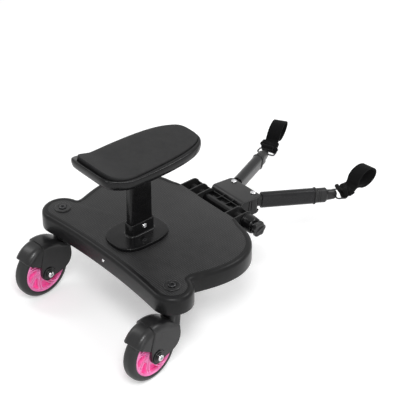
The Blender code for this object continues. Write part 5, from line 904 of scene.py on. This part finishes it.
outer_tube = oval_loft("tube", tube_levels(TUBE_W, TUBE_H, 1.5, 16.6, ARM_LENGTH), True)
pair("outer_tube_*", outer_tube, ARMS, "arm_*", "painted_tube", "arm_tube_*")
pair("collar_*", oval_loft("collar", collar_levels(), True), ARMS, "arm_*", "black_plastic", "arm_collar_*")
inner_tube = oval_loft("slide", tube_levels(SLIDE_W, SLIDE_H, 1.3, 45, CAP_START - 0.3), True)
pair("sliding_tube_*", inner_tube, ARMS, "slider_*", "painted_tube", "inner_tube_*")
pair("tip_*", oval_loft("tip", cap_levels()), ARMS, "slider_*", "black_plastic", "end_cap_*")
print("arm tip at", TIP_END)

# %% [markdown]
# ## Wire rings and strap loops
# The wire ring is a round wire carried along a rounded rectangle. The strap is flat webbing:
# it runs round the wire, up the neck, round the big loop and back, as one closed path, and
# leans as it hangs. Its end is folded over beside the ring as a thick tongue. A keeper band
# holds both layers, and the loose end lies across them. A cloth simulation would crumple such
# stiff webbing, so its section is carried along the path and keeps its width.

# %% Paths of the strap
RING_LENGTH = 18.0
STRAP_W, STRAP_T = 25.4, 2.8
LOOP_RISE, FOLD_RISE = np.radians(35), np.radians(132)
TWIST = {"left": np.radians(12), "right": np.radians(33)}
LEAN = {"left": (0.23, 0.0), "right": (0.20, 0.18)}
SIDEWAYS = np.array([1, 0, 0])
FORWARD = np.array([0, np.cos(LOOP_RISE), np.sin(LOOP_RISE)])
OUT = np.array([0, -np.sin(LOOP_RISE), np.cos(LOOP_RISE)])
RING_END = np.array([0, RING_LENGTH, 0])


def distances(points):
    """How far each point of a polyline lies from its start."""
    return np.concatenate([[0], np.cumsum(np.linalg.norm(np.diff(points, axis=0), axis=1))])


def along_path(points, count, passes):
    """Evenly spaced points on a closed polyline, then averaged with their neighbours to round the corners."""
    closed = np.vstack([points, points[:1]])
    step = distances(closed)
    spots = np.linspace(0, step[-1], count, endpoint=False)
    path = np.stack([np.interp(spots, step, closed[:, k]) for k in range(2)], -1)
    for _ in range(passes):
        path = (np.roll(path, 1, 0) + 2 * path + np.roll(path, -1, 0)) / 4
    return path, step[-1]


def loop_path():
    """Seen along the strap: round the wire, up the neck, round the loop and back."""
    eye, neck, loop = 3.2, 1.55, 18.8
    away = np.degrees(np.arcsin(neck / eye))
    return np.vstack([arc(45.5, loop, -158, 158, 80), [(23.5, neck)], arc(0, eye, away, 360 - away, 30),
                      [(23.5, -neck)]])


def fold_path():
    """The folded tongue: a flat ring of webbing beside the wire."""
    return np.vstack([arc(15.2, 2.7, -90, 90, 16), arc(7.5, 2.2, 90, 270, 16)])


# %% Webbing
def swept(path, across, outline):
    """Carry an outline of (side, out) along a closed path: side lies in the path's plane, out along `across`."""
    ahead = np.roll(path, -1, axis=0) - np.roll(path, 1, axis=0)
    ahead /= np.linalg.norm(ahead, axis=1, keepdims=True)
    side = np.cross(ahead, across)
    return path[:, None] + outline[:, :1] * side[:, None] + outline[:, 1:] * np.asarray(across, float)


def band(name, points, length, outline):
    """A closed band whose UV counts the threads along it and round its outline."""
    u = np.linspace(0, length, len(points) + 1)
    return grid_mesh(name, points, along=True, u=u, v=distances(np.vstack([outline, outline[:1]])))


def webbing(name, path, rise, width, count, twist=0, lean=(0, 0)):
    """Carry a flat rounded section along a closed path, turn it up by its rise, let it lean sideways or forwards
    in proportion to the distance past its neck, and twist it as the ring hangs."""
    path, length = along_path(path, count, 8)
    y, z = path.T
    path = np.stack([0 * y, y * np.cos(rise) - z * np.sin(rise), y * np.sin(rise) + z * np.cos(rise)], -1) + RING_END
    outline = section(STRAP_T, width, 0.8, 24)
    points = swept(path, SIDEWAYS, outline)
    past = (points[..., 1:2] - RING_LENGTH) * np.cos(rise) + points[..., 2:] * np.sin(rise) - 14
    points[..., :2] += np.clip(past, 0, None) * lean
    start = RING_LENGTH + 4.6
    x, y = points[..., 0].copy(), points[..., 1] - start
    angle = twist * np.clip(y / 12.5, 0, 1)
    points[..., 0] = x * np.cos(angle) - y * np.sin(angle)
    points[..., 1] = x * np.sin(angle) + y * np.cos(angle) + start
    return band(name, points, length, outline)


def skewed(degrees):
    """Directions along and across a band that lies askew on the strap."""
    turn = np.radians(degrees)
    return (np.cos(turn) * SIDEWAYS + np.sin(turn) * FORWARD, np.cos(turn) * FORWARD - np.sin(turn) * SIDEWAYS)


def keeper():
    """A short band round both layers of the neck: a rounded rectangle across the strap, closed on itself."""
    ring, length = along_path(section(STRAP_W + 3.4, 9, 3.6, 40), 96, 3)
    path = RING_END + 10.5 * FORWARD + ring[:, :1] * skewed(10)[0] + ring[:, 1:] * OUT
    outline = section(1.8, 11, 0.7, 24)
    return band("keeper", swept(path, FORWARD, outline), length, outline)


def strap_end(count=40):
    """The loose end of the webbing: a flat tab that lies across the neck and bends down at both ends."""
    t = np.linspace(-1, 1, count)
    along, across = skewed(-20)
    rise = 8.2 - 3.6 * t ** 2 + 0.9 * np.sin(5 * t)
    path = RING_END + 4.5 * FORWARD + 18.5 * t[:, None] * along + rise[:, None] * OUT
    width = 15 * (1 - 0.25 * np.abs(t) ** 6)
    ring = section(width, 0 * width + STRAP_T, 0.8, 24)
    points = path[:, None] + ring[..., :1] * across + ring[..., 1:] * OUT
    return grid_mesh("strap_end", points, caps="flat", u=np.linspace(0, 40, count), v=np.linspace(0, 36, 25))


# %% Rings and straps
wire_path = along_path(section(33.6, RING_LENGTH, 3.5, 32), 160, 6)[0] + (0, RING_LENGTH / 2)
wire = swept(np.pad(wire_path, ((0, 0), (0, 1))), (0, 0, 1), arc(0, 1.4, 0, 337.5, 16))
pair("wire_*", grid_mesh("wire", wire, along=True), STRAPS, "strap_*", "black_wire", "strap_ring_*")
pair("keeper_*", keeper(), STRAPS, "strap_*", "webbing", sharp=60)
pair("strap_end_*", strap_end(), STRAPS, "strap_*", "webbing", sharp=60)
pair("loop_*", lambda side: webbing("loop", loop_path(), LOOP_RISE, STRAP_W, 320, TWIST[side], LEAN[side]), STRAPS,
     "strap_*", "webbing", "strap_loop_*", sharp=60)
pair("tongue_*", webbing("tongue", fold_path(), FOLD_RISE, STRAP_W - 2.8, 96), STRAPS, "strap_*", "webbing",
     sharp=60)

# %% [markdown]
# ## Smoothing the carried-over pieces
# The other CAD nodes keep their meshes, which are loose flat triangles. Editing them isn't
# allowed, but a modifier is: a small geometry-nodes group merges their points and smooths
# every edge that bends less than a set angle.

# %% Node helpers
def feed(node, inputs):
    """Give a node's inputs their values; a value can be the output socket of another node."""
    for key, value in inputs.items():
        if isinstance(value, bpy.types.NodeSocket):
            node.id_data.links.new(value, node.inputs[key])
        else:
            node.inputs[key].default_value = value


def add(tree, kind, inputs=None, **settings):
    """Add a node with its settings and inputs."""
    new = tree.nodes.new(kind)
    for key, value in settings.items():
        setattr(new, key, value)
    feed(new, inputs or {})
    return new


# %% Smooth by angle
def smoothing_group():
    group = bpy.data.node_groups.new("merge_and_smooth", "GeometryNodeTree")
    for way in ("INPUT", "OUTPUT"):
        group.interface.new_socket("Geometry", in_out=way, socket_type="NodeSocketGeometry")
    entry = add(group, "NodeGroupInput").outputs[0]
    merged = add(group, "GeometryNodeMergeByDistance", {"Geometry": entry, "Distance": 1e-6}).outputs[0]
    smooth = add(group, "GeometryNodeSetShadeSmooth", {"Geometry": merged}, domain="FACE").outputs[0]
    bend = add(group, "GeometryNodeInputMeshEdgeAngle").outputs["Unsigned Angle"]
    hard = add(group, "FunctionNodeCompare", {0: bend, 1: np.radians(34)}, data_type="FLOAT",
               operation="GREATER_THAN").outputs["Result"]
    creased = add(group, "GeometryNodeSetShadeSmooth", {"Geometry": smooth, "Selection": hard, "Shade Smooth": False},
                  domain="EDGE").outputs[0]
    add(group, "NodeGroupOutput", {0: creased})
    return group


smoothing = smoothing_group()
carried = [name for name in frame["nodes"] if not frame["nodes"][name].hide_render]
for name in carried:
    frame["nodes"][name].modifiers.new("smooth", "NODES").node_group = smoothing
print("carried over", len(carried))

# %% [markdown]
# ## Finishes
# Small effects that several finishes share are node groups: a moulded grain, edges lighter
# from scuffs and as a painted highlight, dust that settles on upward faces, raised dots and a
# weave whose thread crowns carry a painted highlight. Pictures could show the same, but they
# would stretch over the curves, while nodes that read the object's own space fit any shape.
# Each finish then has its own Principled shader with its own values.

# %% Helpers for shader groups
def new_group(name, **inputs):
    """A shader node group with float inputs, and the sockets that carry them inside it."""
    group = bpy.data.node_groups.new(name, "ShaderNodeTree")
    for label, value in inputs.items():
        group.interface.new_socket(label, in_out="INPUT", socket_type="NodeSocketFloat").default_value = value
    return group, group.nodes.new("NodeGroupInput").outputs


def leave(group, **outputs):
    """Give the group its outputs."""
    for label in outputs:
        group.interface.new_socket(label, in_out="OUTPUT", socket_type="NodeSocketFloat")
    feed(group.nodes.new("NodeGroupOutput"), outputs)
    return group


def maths(operation, a, b=0.0, clamp=False):
    """One sum on sockets or numbers; the tree is the one that its first socket is in."""
    tree = (a if isinstance(a, bpy.types.NodeSocket) else b).id_data
    return add(tree, "ShaderNodeMath", {0: a, 1: b}, operation=operation, use_clamp=clamp).outputs[0]


def times(a, b, clamp=False):
    """A product, the sum that the finishes need most."""
    return maths("MULTIPLY", a, b, clamp)


def place_of(tree):
    """The point in the object's own space, so nothing slides when a piece moves."""
    return add(tree, "ShaderNodeTexCoord").outputs["Object"]


def noise(tree, scale, detail, roughness=0.5):
    inputs = {"Vector": place_of(tree), "Scale": scale, "Detail": detail, "Roughness": roughness}
    return add(tree, "ShaderNodeTexNoise", inputs).outputs["Fac"]


def split(tree, vector):
    return add(tree, "ShaderNodeSeparateXYZ", {0: vector}).outputs


def normal_of(tree):
    return add(tree, "ShaderNodeNewGeometry").outputs["Normal"]


# %% Grain, edge scuffs with a painted highlight, and dust
def grain_group():
    """Moulded grain: fine noise pressed by a coarser one."""
    group, given = new_group("grain", Size=900.0, Depth=1.0)
    fine = noise(group, given["Size"], 4.0, 0.6)
    coarse = noise(group, times(given["Size"], 0.07), 2.0)
    both = times(fine, maths("ADD", coarse, 0.5))
    return leave(group, Height=times(both, given["Depth"]), Shade=coarse)


def wear_and_highlight_group():
    """Painted edge highlight and scuffs: where the bevelled normal leaves the true one, broken up by noise."""
    group, given = new_group("edge_wear_and_highlight", Width=0.0006, Strength=0.5)
    bevel = add(group, "ShaderNodeBevel", {"Radius": given["Width"]}, samples=4).outputs[0]
    same = add(group, "ShaderNodeVectorMath", {0: bevel, 1: normal_of(group)},
               operation="DOT_PRODUCT").outputs["Value"]
    edge = times(maths("SUBTRACT", 1.0, same), 6.0, True)
    return leave(group, Mask=times(times(edge, noise(group, 220.0, 3.0)), given["Strength"], True))


def dust_group():
    """Dust: the upward part of the normal, gathered in soft patches."""
    group, given = new_group("dust", Amount=0.2)
    upward = maths("MAXIMUM", split(group, normal_of(group))["Z"], 0.0)
    patches = times(maths("SUBTRACT", noise(group, 38.0, 5.0), 0.35), 2.2, True)
    return leave(group, Mask=times(times(upward, patches), given["Amount"], True))


# %% Dots and weave
def dots_group():
    """Raised dots: a square pattern in plan, present only on faces that look up."""
    group, given = new_group("raised_dots", Pitch=0.0032, Size=0.0010)
    place = split(group, place_of(group))
    squares = []
    for axis in ("X", "Y"):
        wrapped = add(group, "ShaderNodeMath", {0: place[axis], 1: given["Pitch"], 2: 0.0}, operation="WRAP")
        off = maths("SUBTRACT", wrapped.outputs[0], times(given["Pitch"], 0.5))
        squares.append(times(off, off))
    far = maths("SQRT", maths("ADD", *squares))
    dot = maths("SUBTRACT", 1.0, maths("DIVIDE", far, given["Size"]), True)
    shown = times(dot, maths("GREATER_THAN", split(group, normal_of(group))["Z"], 0.97))
    return leave(group, Height=shown, Mask=shown)


def weave_group():
    """Webbing: threads that pass over and under each other, from two waves on the strap's own UV."""
    group, given = new_group("weave", Thread=0.0011)
    uv = add(group, "ShaderNodeUVMap", uv_map="thread").outputs["UV"]
    place = split(group, uv)
    along, across = (maths("SINE", times(maths("DIVIDE", place[axis], given["Thread"]), np.pi)) for axis in "XY")
    height = maths("POWER", maths("ABSOLUTE", times(along, across)), 0.5)
    fuzz = add(group, "ShaderNodeTexNoise", {"Vector": uv, "Scale": 900.0}).outputs["Fac"]
    # Shade: a painted highlight, lighter on the threads' crowns and broken up by fuzz.
    return leave(group, Height=height, Shade=times(height, maths("ADD", fuzz, 0.4)))


GROUPS = {"grain": grain_group(), "wear_and_highlight": wear_and_highlight_group(), "dust": dust_group(), "dots": dots_group(),
          "weave": weave_group()}
print("groups", sorted(GROUPS))

# %% [markdown]
# ## One recipe for plastics, rubber and paint
# Black plastics differ in gloss, grain and how dusty they are. The recipe mixes the base
# colour with a lighter edge colour, for scuffs and as a painted highlight, and with dust, and
# roughens the surface where dust lies.

# %% Plastics
def use(tree, group, **inputs):
    """Place a node group in a material with its own values."""
    return add(tree, "ShaderNodeGroup", node_tree=GROUPS[group], inputs=inputs).outputs


def blend_colour(tree, factor, a, b):
    """Colour a where the factor is 0 and b where it is 1."""
    return add(tree, "ShaderNodeMix", {0: factor, 6: a, 7: b}, data_type="RGBA").outputs[2]


def bumped(tree, height, strength, distance, **normal):
    """The normal tilted by a height; another bump's normal can go in first."""
    inputs = {"Strength": strength, "Distance": distance, "Height": height, **normal}
    return add(tree, "ShaderNodeBump", inputs).outputs["Normal"]


def new_finish(name):
    """A material, its node tree and its Principled shader."""
    material = bpy.data.materials.new(name)
    material.use_nodes = True
    return material, material.node_tree, material.node_tree.nodes["Principled BSDF"]


def plastic(name, colour, roughness, bump, specular=0.5, dust=0.0, edge=0.35, grain_size=900.0, grain_depth=0.5,
            metallic=0.0):
    """Base colour, darker and lighter by the grain, scuffed and with a painted highlight at the edges, dusted on top.
    """
    material, tree, shader = new_finish(name)
    grain = use(tree, "grain", Size=grain_size, Depth=grain_depth)
    wear_and_highlight = use(tree, "wear_and_highlight", Width=0.0006, Strength=edge)["Mask"]
    dirt = use(tree, "dust", Amount=dust)["Mask"]
    # The edge colour is lighter: scuffs, and a painted highlight along the edges.
    dark, light, rubbed_and_lit = ((*(min(1.0, c * share + more) for c in colour), 1)
                           for share, more in ((0.8, 0), (1.25, 0.004), (1.6, 0.05)))
    worn_and_lit = blend_colour(tree, wear_and_highlight, blend_colour(tree, grain["Shade"], dark, light), rubbed_and_lit)
    rough = maths("ADD", times(grain["Shade"], 0.12), roughness - 0.06)
    feed(shader, {"Base Color": blend_colour(tree, dirt, worn_and_lit, (0.16, 0.155, 0.15, 1)),
                  "Roughness": maths("ADD", rough, times(dirt, 0.3), True),
                  "Metallic": metallic, "Specular IOR Level": specular,
                  "Normal": bumped(tree, grain["Height"], bump, 0.0004)})
    material.diffuse_color = (*colour, 1)
    return material


FINISH = {
    "black_plastic": plastic("satin_moulding", (0.010, 0.010, 0.0105), 0.32, 0.06, 0.32, 0.04),
    "fork_plastic": plastic("fork_moulding", (0.009, 0.009, 0.0095), 0.30, 0.05, 0.35, 0.02),
    "satin_black": plastic("satin_black_paint", (0.003, 0.003, 0.0033), 0.22, 0.02, 0.19),
    "seat_plastic": plastic("glossy_tray", (0.004, 0.004, 0.0044), 0.20, 0.015, 0.20),
    "shaded_edge_plastic": plastic("smooth_shaded_moulding", (0.005, 0.005, 0.0053), 0.34, 0.02, 0.17),
    # Painted shade: the board's edge skin is the board's plastic, darker here for the roll and the wall.
    "painted_tube": plastic("tube_paint", (0.006, 0.006, 0.007), 0.22, 0.02, 0.27, 0.02),
    "deck_plastic": plastic("board_plastic", (0.013, 0.013, 0.0134), 0.42, 0.10, 0.24, 0.05),
    "tyre_rubber": plastic("tyre_rubber", (0.012, 0.013, 0.013), 0.42, 0.10, 0.35, 0.04, edge=0.1, grain_size=600),
    "pad_foam": plastic("closed_foam", (0.022, 0.022, 0.0225), 0.78, 0.30, 0.20, 0.05, edge=0.1, grain_size=1500,
                        grain_depth=1.0),
    "black_wire": plastic("blackened_wire", (0.030, 0.030, 0.032), 0.30, 0.04, metallic=0.6),
    "pink_plastic": plastic("pink_moulding", (1.0, 0.22, 0.50), 0.34, 0.03, edge=0.2),
}
print("plastics", len(FINISH))


def tint(finish, factor, colour):
    """Blend another colour over a finish; factor is a function that makes the mask in its tree."""
    tree = FINISH[finish].node_tree
    shader = tree.nodes["Principled BSDF"]
    before = shader.inputs["Base Color"].links[0].from_socket
    feed(shader, {"Base Color": blend_colour(tree, factor(tree), before, colour)})
    return tree, shader


# %% [markdown]
# ## Dots, pink recesses, steel and webbing
# The board's finish gets raised dots, a little lighter than the board. The pink rims take a
# deeper pink in the windows and slots, which the rim's own "recess" attribute marks: painted
# shade for the hollows. Steel is bright and a little brushed. The webbing is nearly black, and
# its thread crowns are painted lighter, a painted highlight where they catch the light.

# %% Dots on the board and pink recesses
def dots_of(tree):
    return use(tree, "dots", Pitch=0.0036, Size=0.0011)


tree, shader = tint("deck_plastic", lambda tree: times(dots_of(tree)["Mask"], 0.55), (0.085, 0.085, 0.088, 1))
grained = shader.inputs["Normal"].links[0].from_socket
feed(shader, {"Normal": bumped(tree, dots_of(tree)["Height"], 0.5, 0.0006, Normal=grained)})
# Painted shade: the pink is darker in the windows and slots that the recess attribute marks.
tint("pink_plastic", lambda tree: add(tree, "ShaderNodeAttribute", attribute_name="recess").outputs["Fac"],
     (1.0, 0.12, 0.46, 1))

# %% Steel
FINISH["bright_steel"], tree, shader = new_finish("bright_steel")
grain = use(tree, "grain", Size=1400.0, Depth=0.6)
feed(shader, {"Base Color": blend_colour(tree, grain["Shade"], (0.50, 0.50, 0.51, 1), (0.80, 0.80, 0.81, 1)),
              "Roughness": maths("ADD", times(grain["Shade"], 0.15), 0.10), "Metallic": 1.0,
              "Normal": bumped(tree, grain["Height"], 0.04, 0.0003)})
print("steel nodes", len(tree.nodes))

# %% Webbing cloth
FINISH["webbing"], tree, shader = new_finish("woven_webbing")
weave = use(tree, "weave", Thread=0.0012)
# Painted highlight: the thread colour is lighter where the weave's Shade is high, on the crowns.
thread = blend_colour(tree, weave["Shade"], (0.0012, 0.0012, 0.0012, 1), (0.007, 0.007, 0.0075, 1))
feed(shader, {"Base Color": thread, "Roughness": 0.9, "Specular IOR Level": 0.10, "Sheen Weight": 0.03,
              "Sheen Roughness": 0.5, "Normal": bumped(tree, weave["Height"], 0.8, 0.0005)})
print("webbing nodes", len(tree.nodes))

# %% [markdown]
# ## Dressing
# Each new piece takes the finish it was made for. The carried-over CAD nodes take the one that
# the record names for them, but the hub's housing is as glossy as the parts beside it.

# %% Dress every piece
for thing, finish in made.values():
    thing.data.materials.clear()
    thing.data.materials.append(FINISH[finish])
slots = {row["node"]: row["material_slot"] for row in frame["record"]["subparts"]}
slots["hub_housing"] = "satin_black"
for name in carried:
    for holder in frame["nodes"][name].material_slots:
        holder.material = FINISH[slots[name]]
print("finishes", len(FINISH), "pieces", len(made))

# %% [markdown]
# ## Floor and light
# The floor is a plain pale sheet that keeps the object's soft shadow. The key lamp hangs high
# beside the camera. A long lamp on the left and one behind draw the bright lines along the
# black edges, and a small one on the right lifts the near sides. The world is an even pale
# grey that the camera and the gloss see as white.

# %% Floor
def seen_directly(tree):
    """One for rays from the camera, from gloss or through glass, and zero for the soft light."""
    ray = add(tree, "ShaderNodeLightPath").outputs
    return maths("MAXIMUM", ray["Is Camera Ray"], maths("MAXIMUM", ray["Is Glossy Ray"], ray["Is Transmission Ray"]))


plane = bpy.data.meshes.new("floor")
plane.from_pydata([(-6, -6, 0), (6, -6, 0), (6, 6, 0), (-6, 6, 0)], [], [(0, 1, 2, 3)])
floor_paint, tree, shader = new_finish("pale_floor")
feed(shader, {"Base Color": (0.84, 0.84, 0.842, 1), "Roughness": 0.85, "Specular IOR Level": 0.1,
              "Emission Color": (1, 1, 1, 1), "Emission Strength": times(seen_directly(tree), 0.34)})
plane.materials.append(floor_paint)
floor = link_object("floor", plane)


# %% Lamps
def softbox(name, place, width, height, power):
    """A rectangular lamp that looks at the middle of the object; its place is in metres."""
    lamp = bpy.data.lights.new(name, "AREA")
    lamp.shape = "RECTANGLE"
    lamp.size, lamp.size_y, lamp.energy = width, height, power
    look = (Vector((0, 0, 0.15)) - Vector(place)).to_track_quat("-Z", "Y")
    link_object(name, lamp).matrix_world = Matrix.Translation(place) @ look.to_matrix().to_4x4()


softbox("key_softbox", (1.15, -1.00, 1.9), 0.7, 0.7, 26)
softbox("back_softbox", (0.75, 1.20, 1.85), 0.9, 0.35, 12)
softbox("left_softbox", (-1.45, -0.75, 1.65), 0.45, 1.1, 7)
softbox("right_softbox", (2.2, -0.5, 0.75), 0.5, 1.3, 6)

world = bpy.data.worlds.new("studio")
bpy.context.scene.world = world
world.use_nodes = True
strength = maths("ADD", 0.45, times(seen_directly(world.node_tree), 0.55))
feed(world.node_tree.nodes["Background"], {"Color": (1, 1, 1, 1), "Strength": strength})
bpy.context.scene.view_settings.view_transform = "Standard"
print("lamps", len(bpy.data.lights))
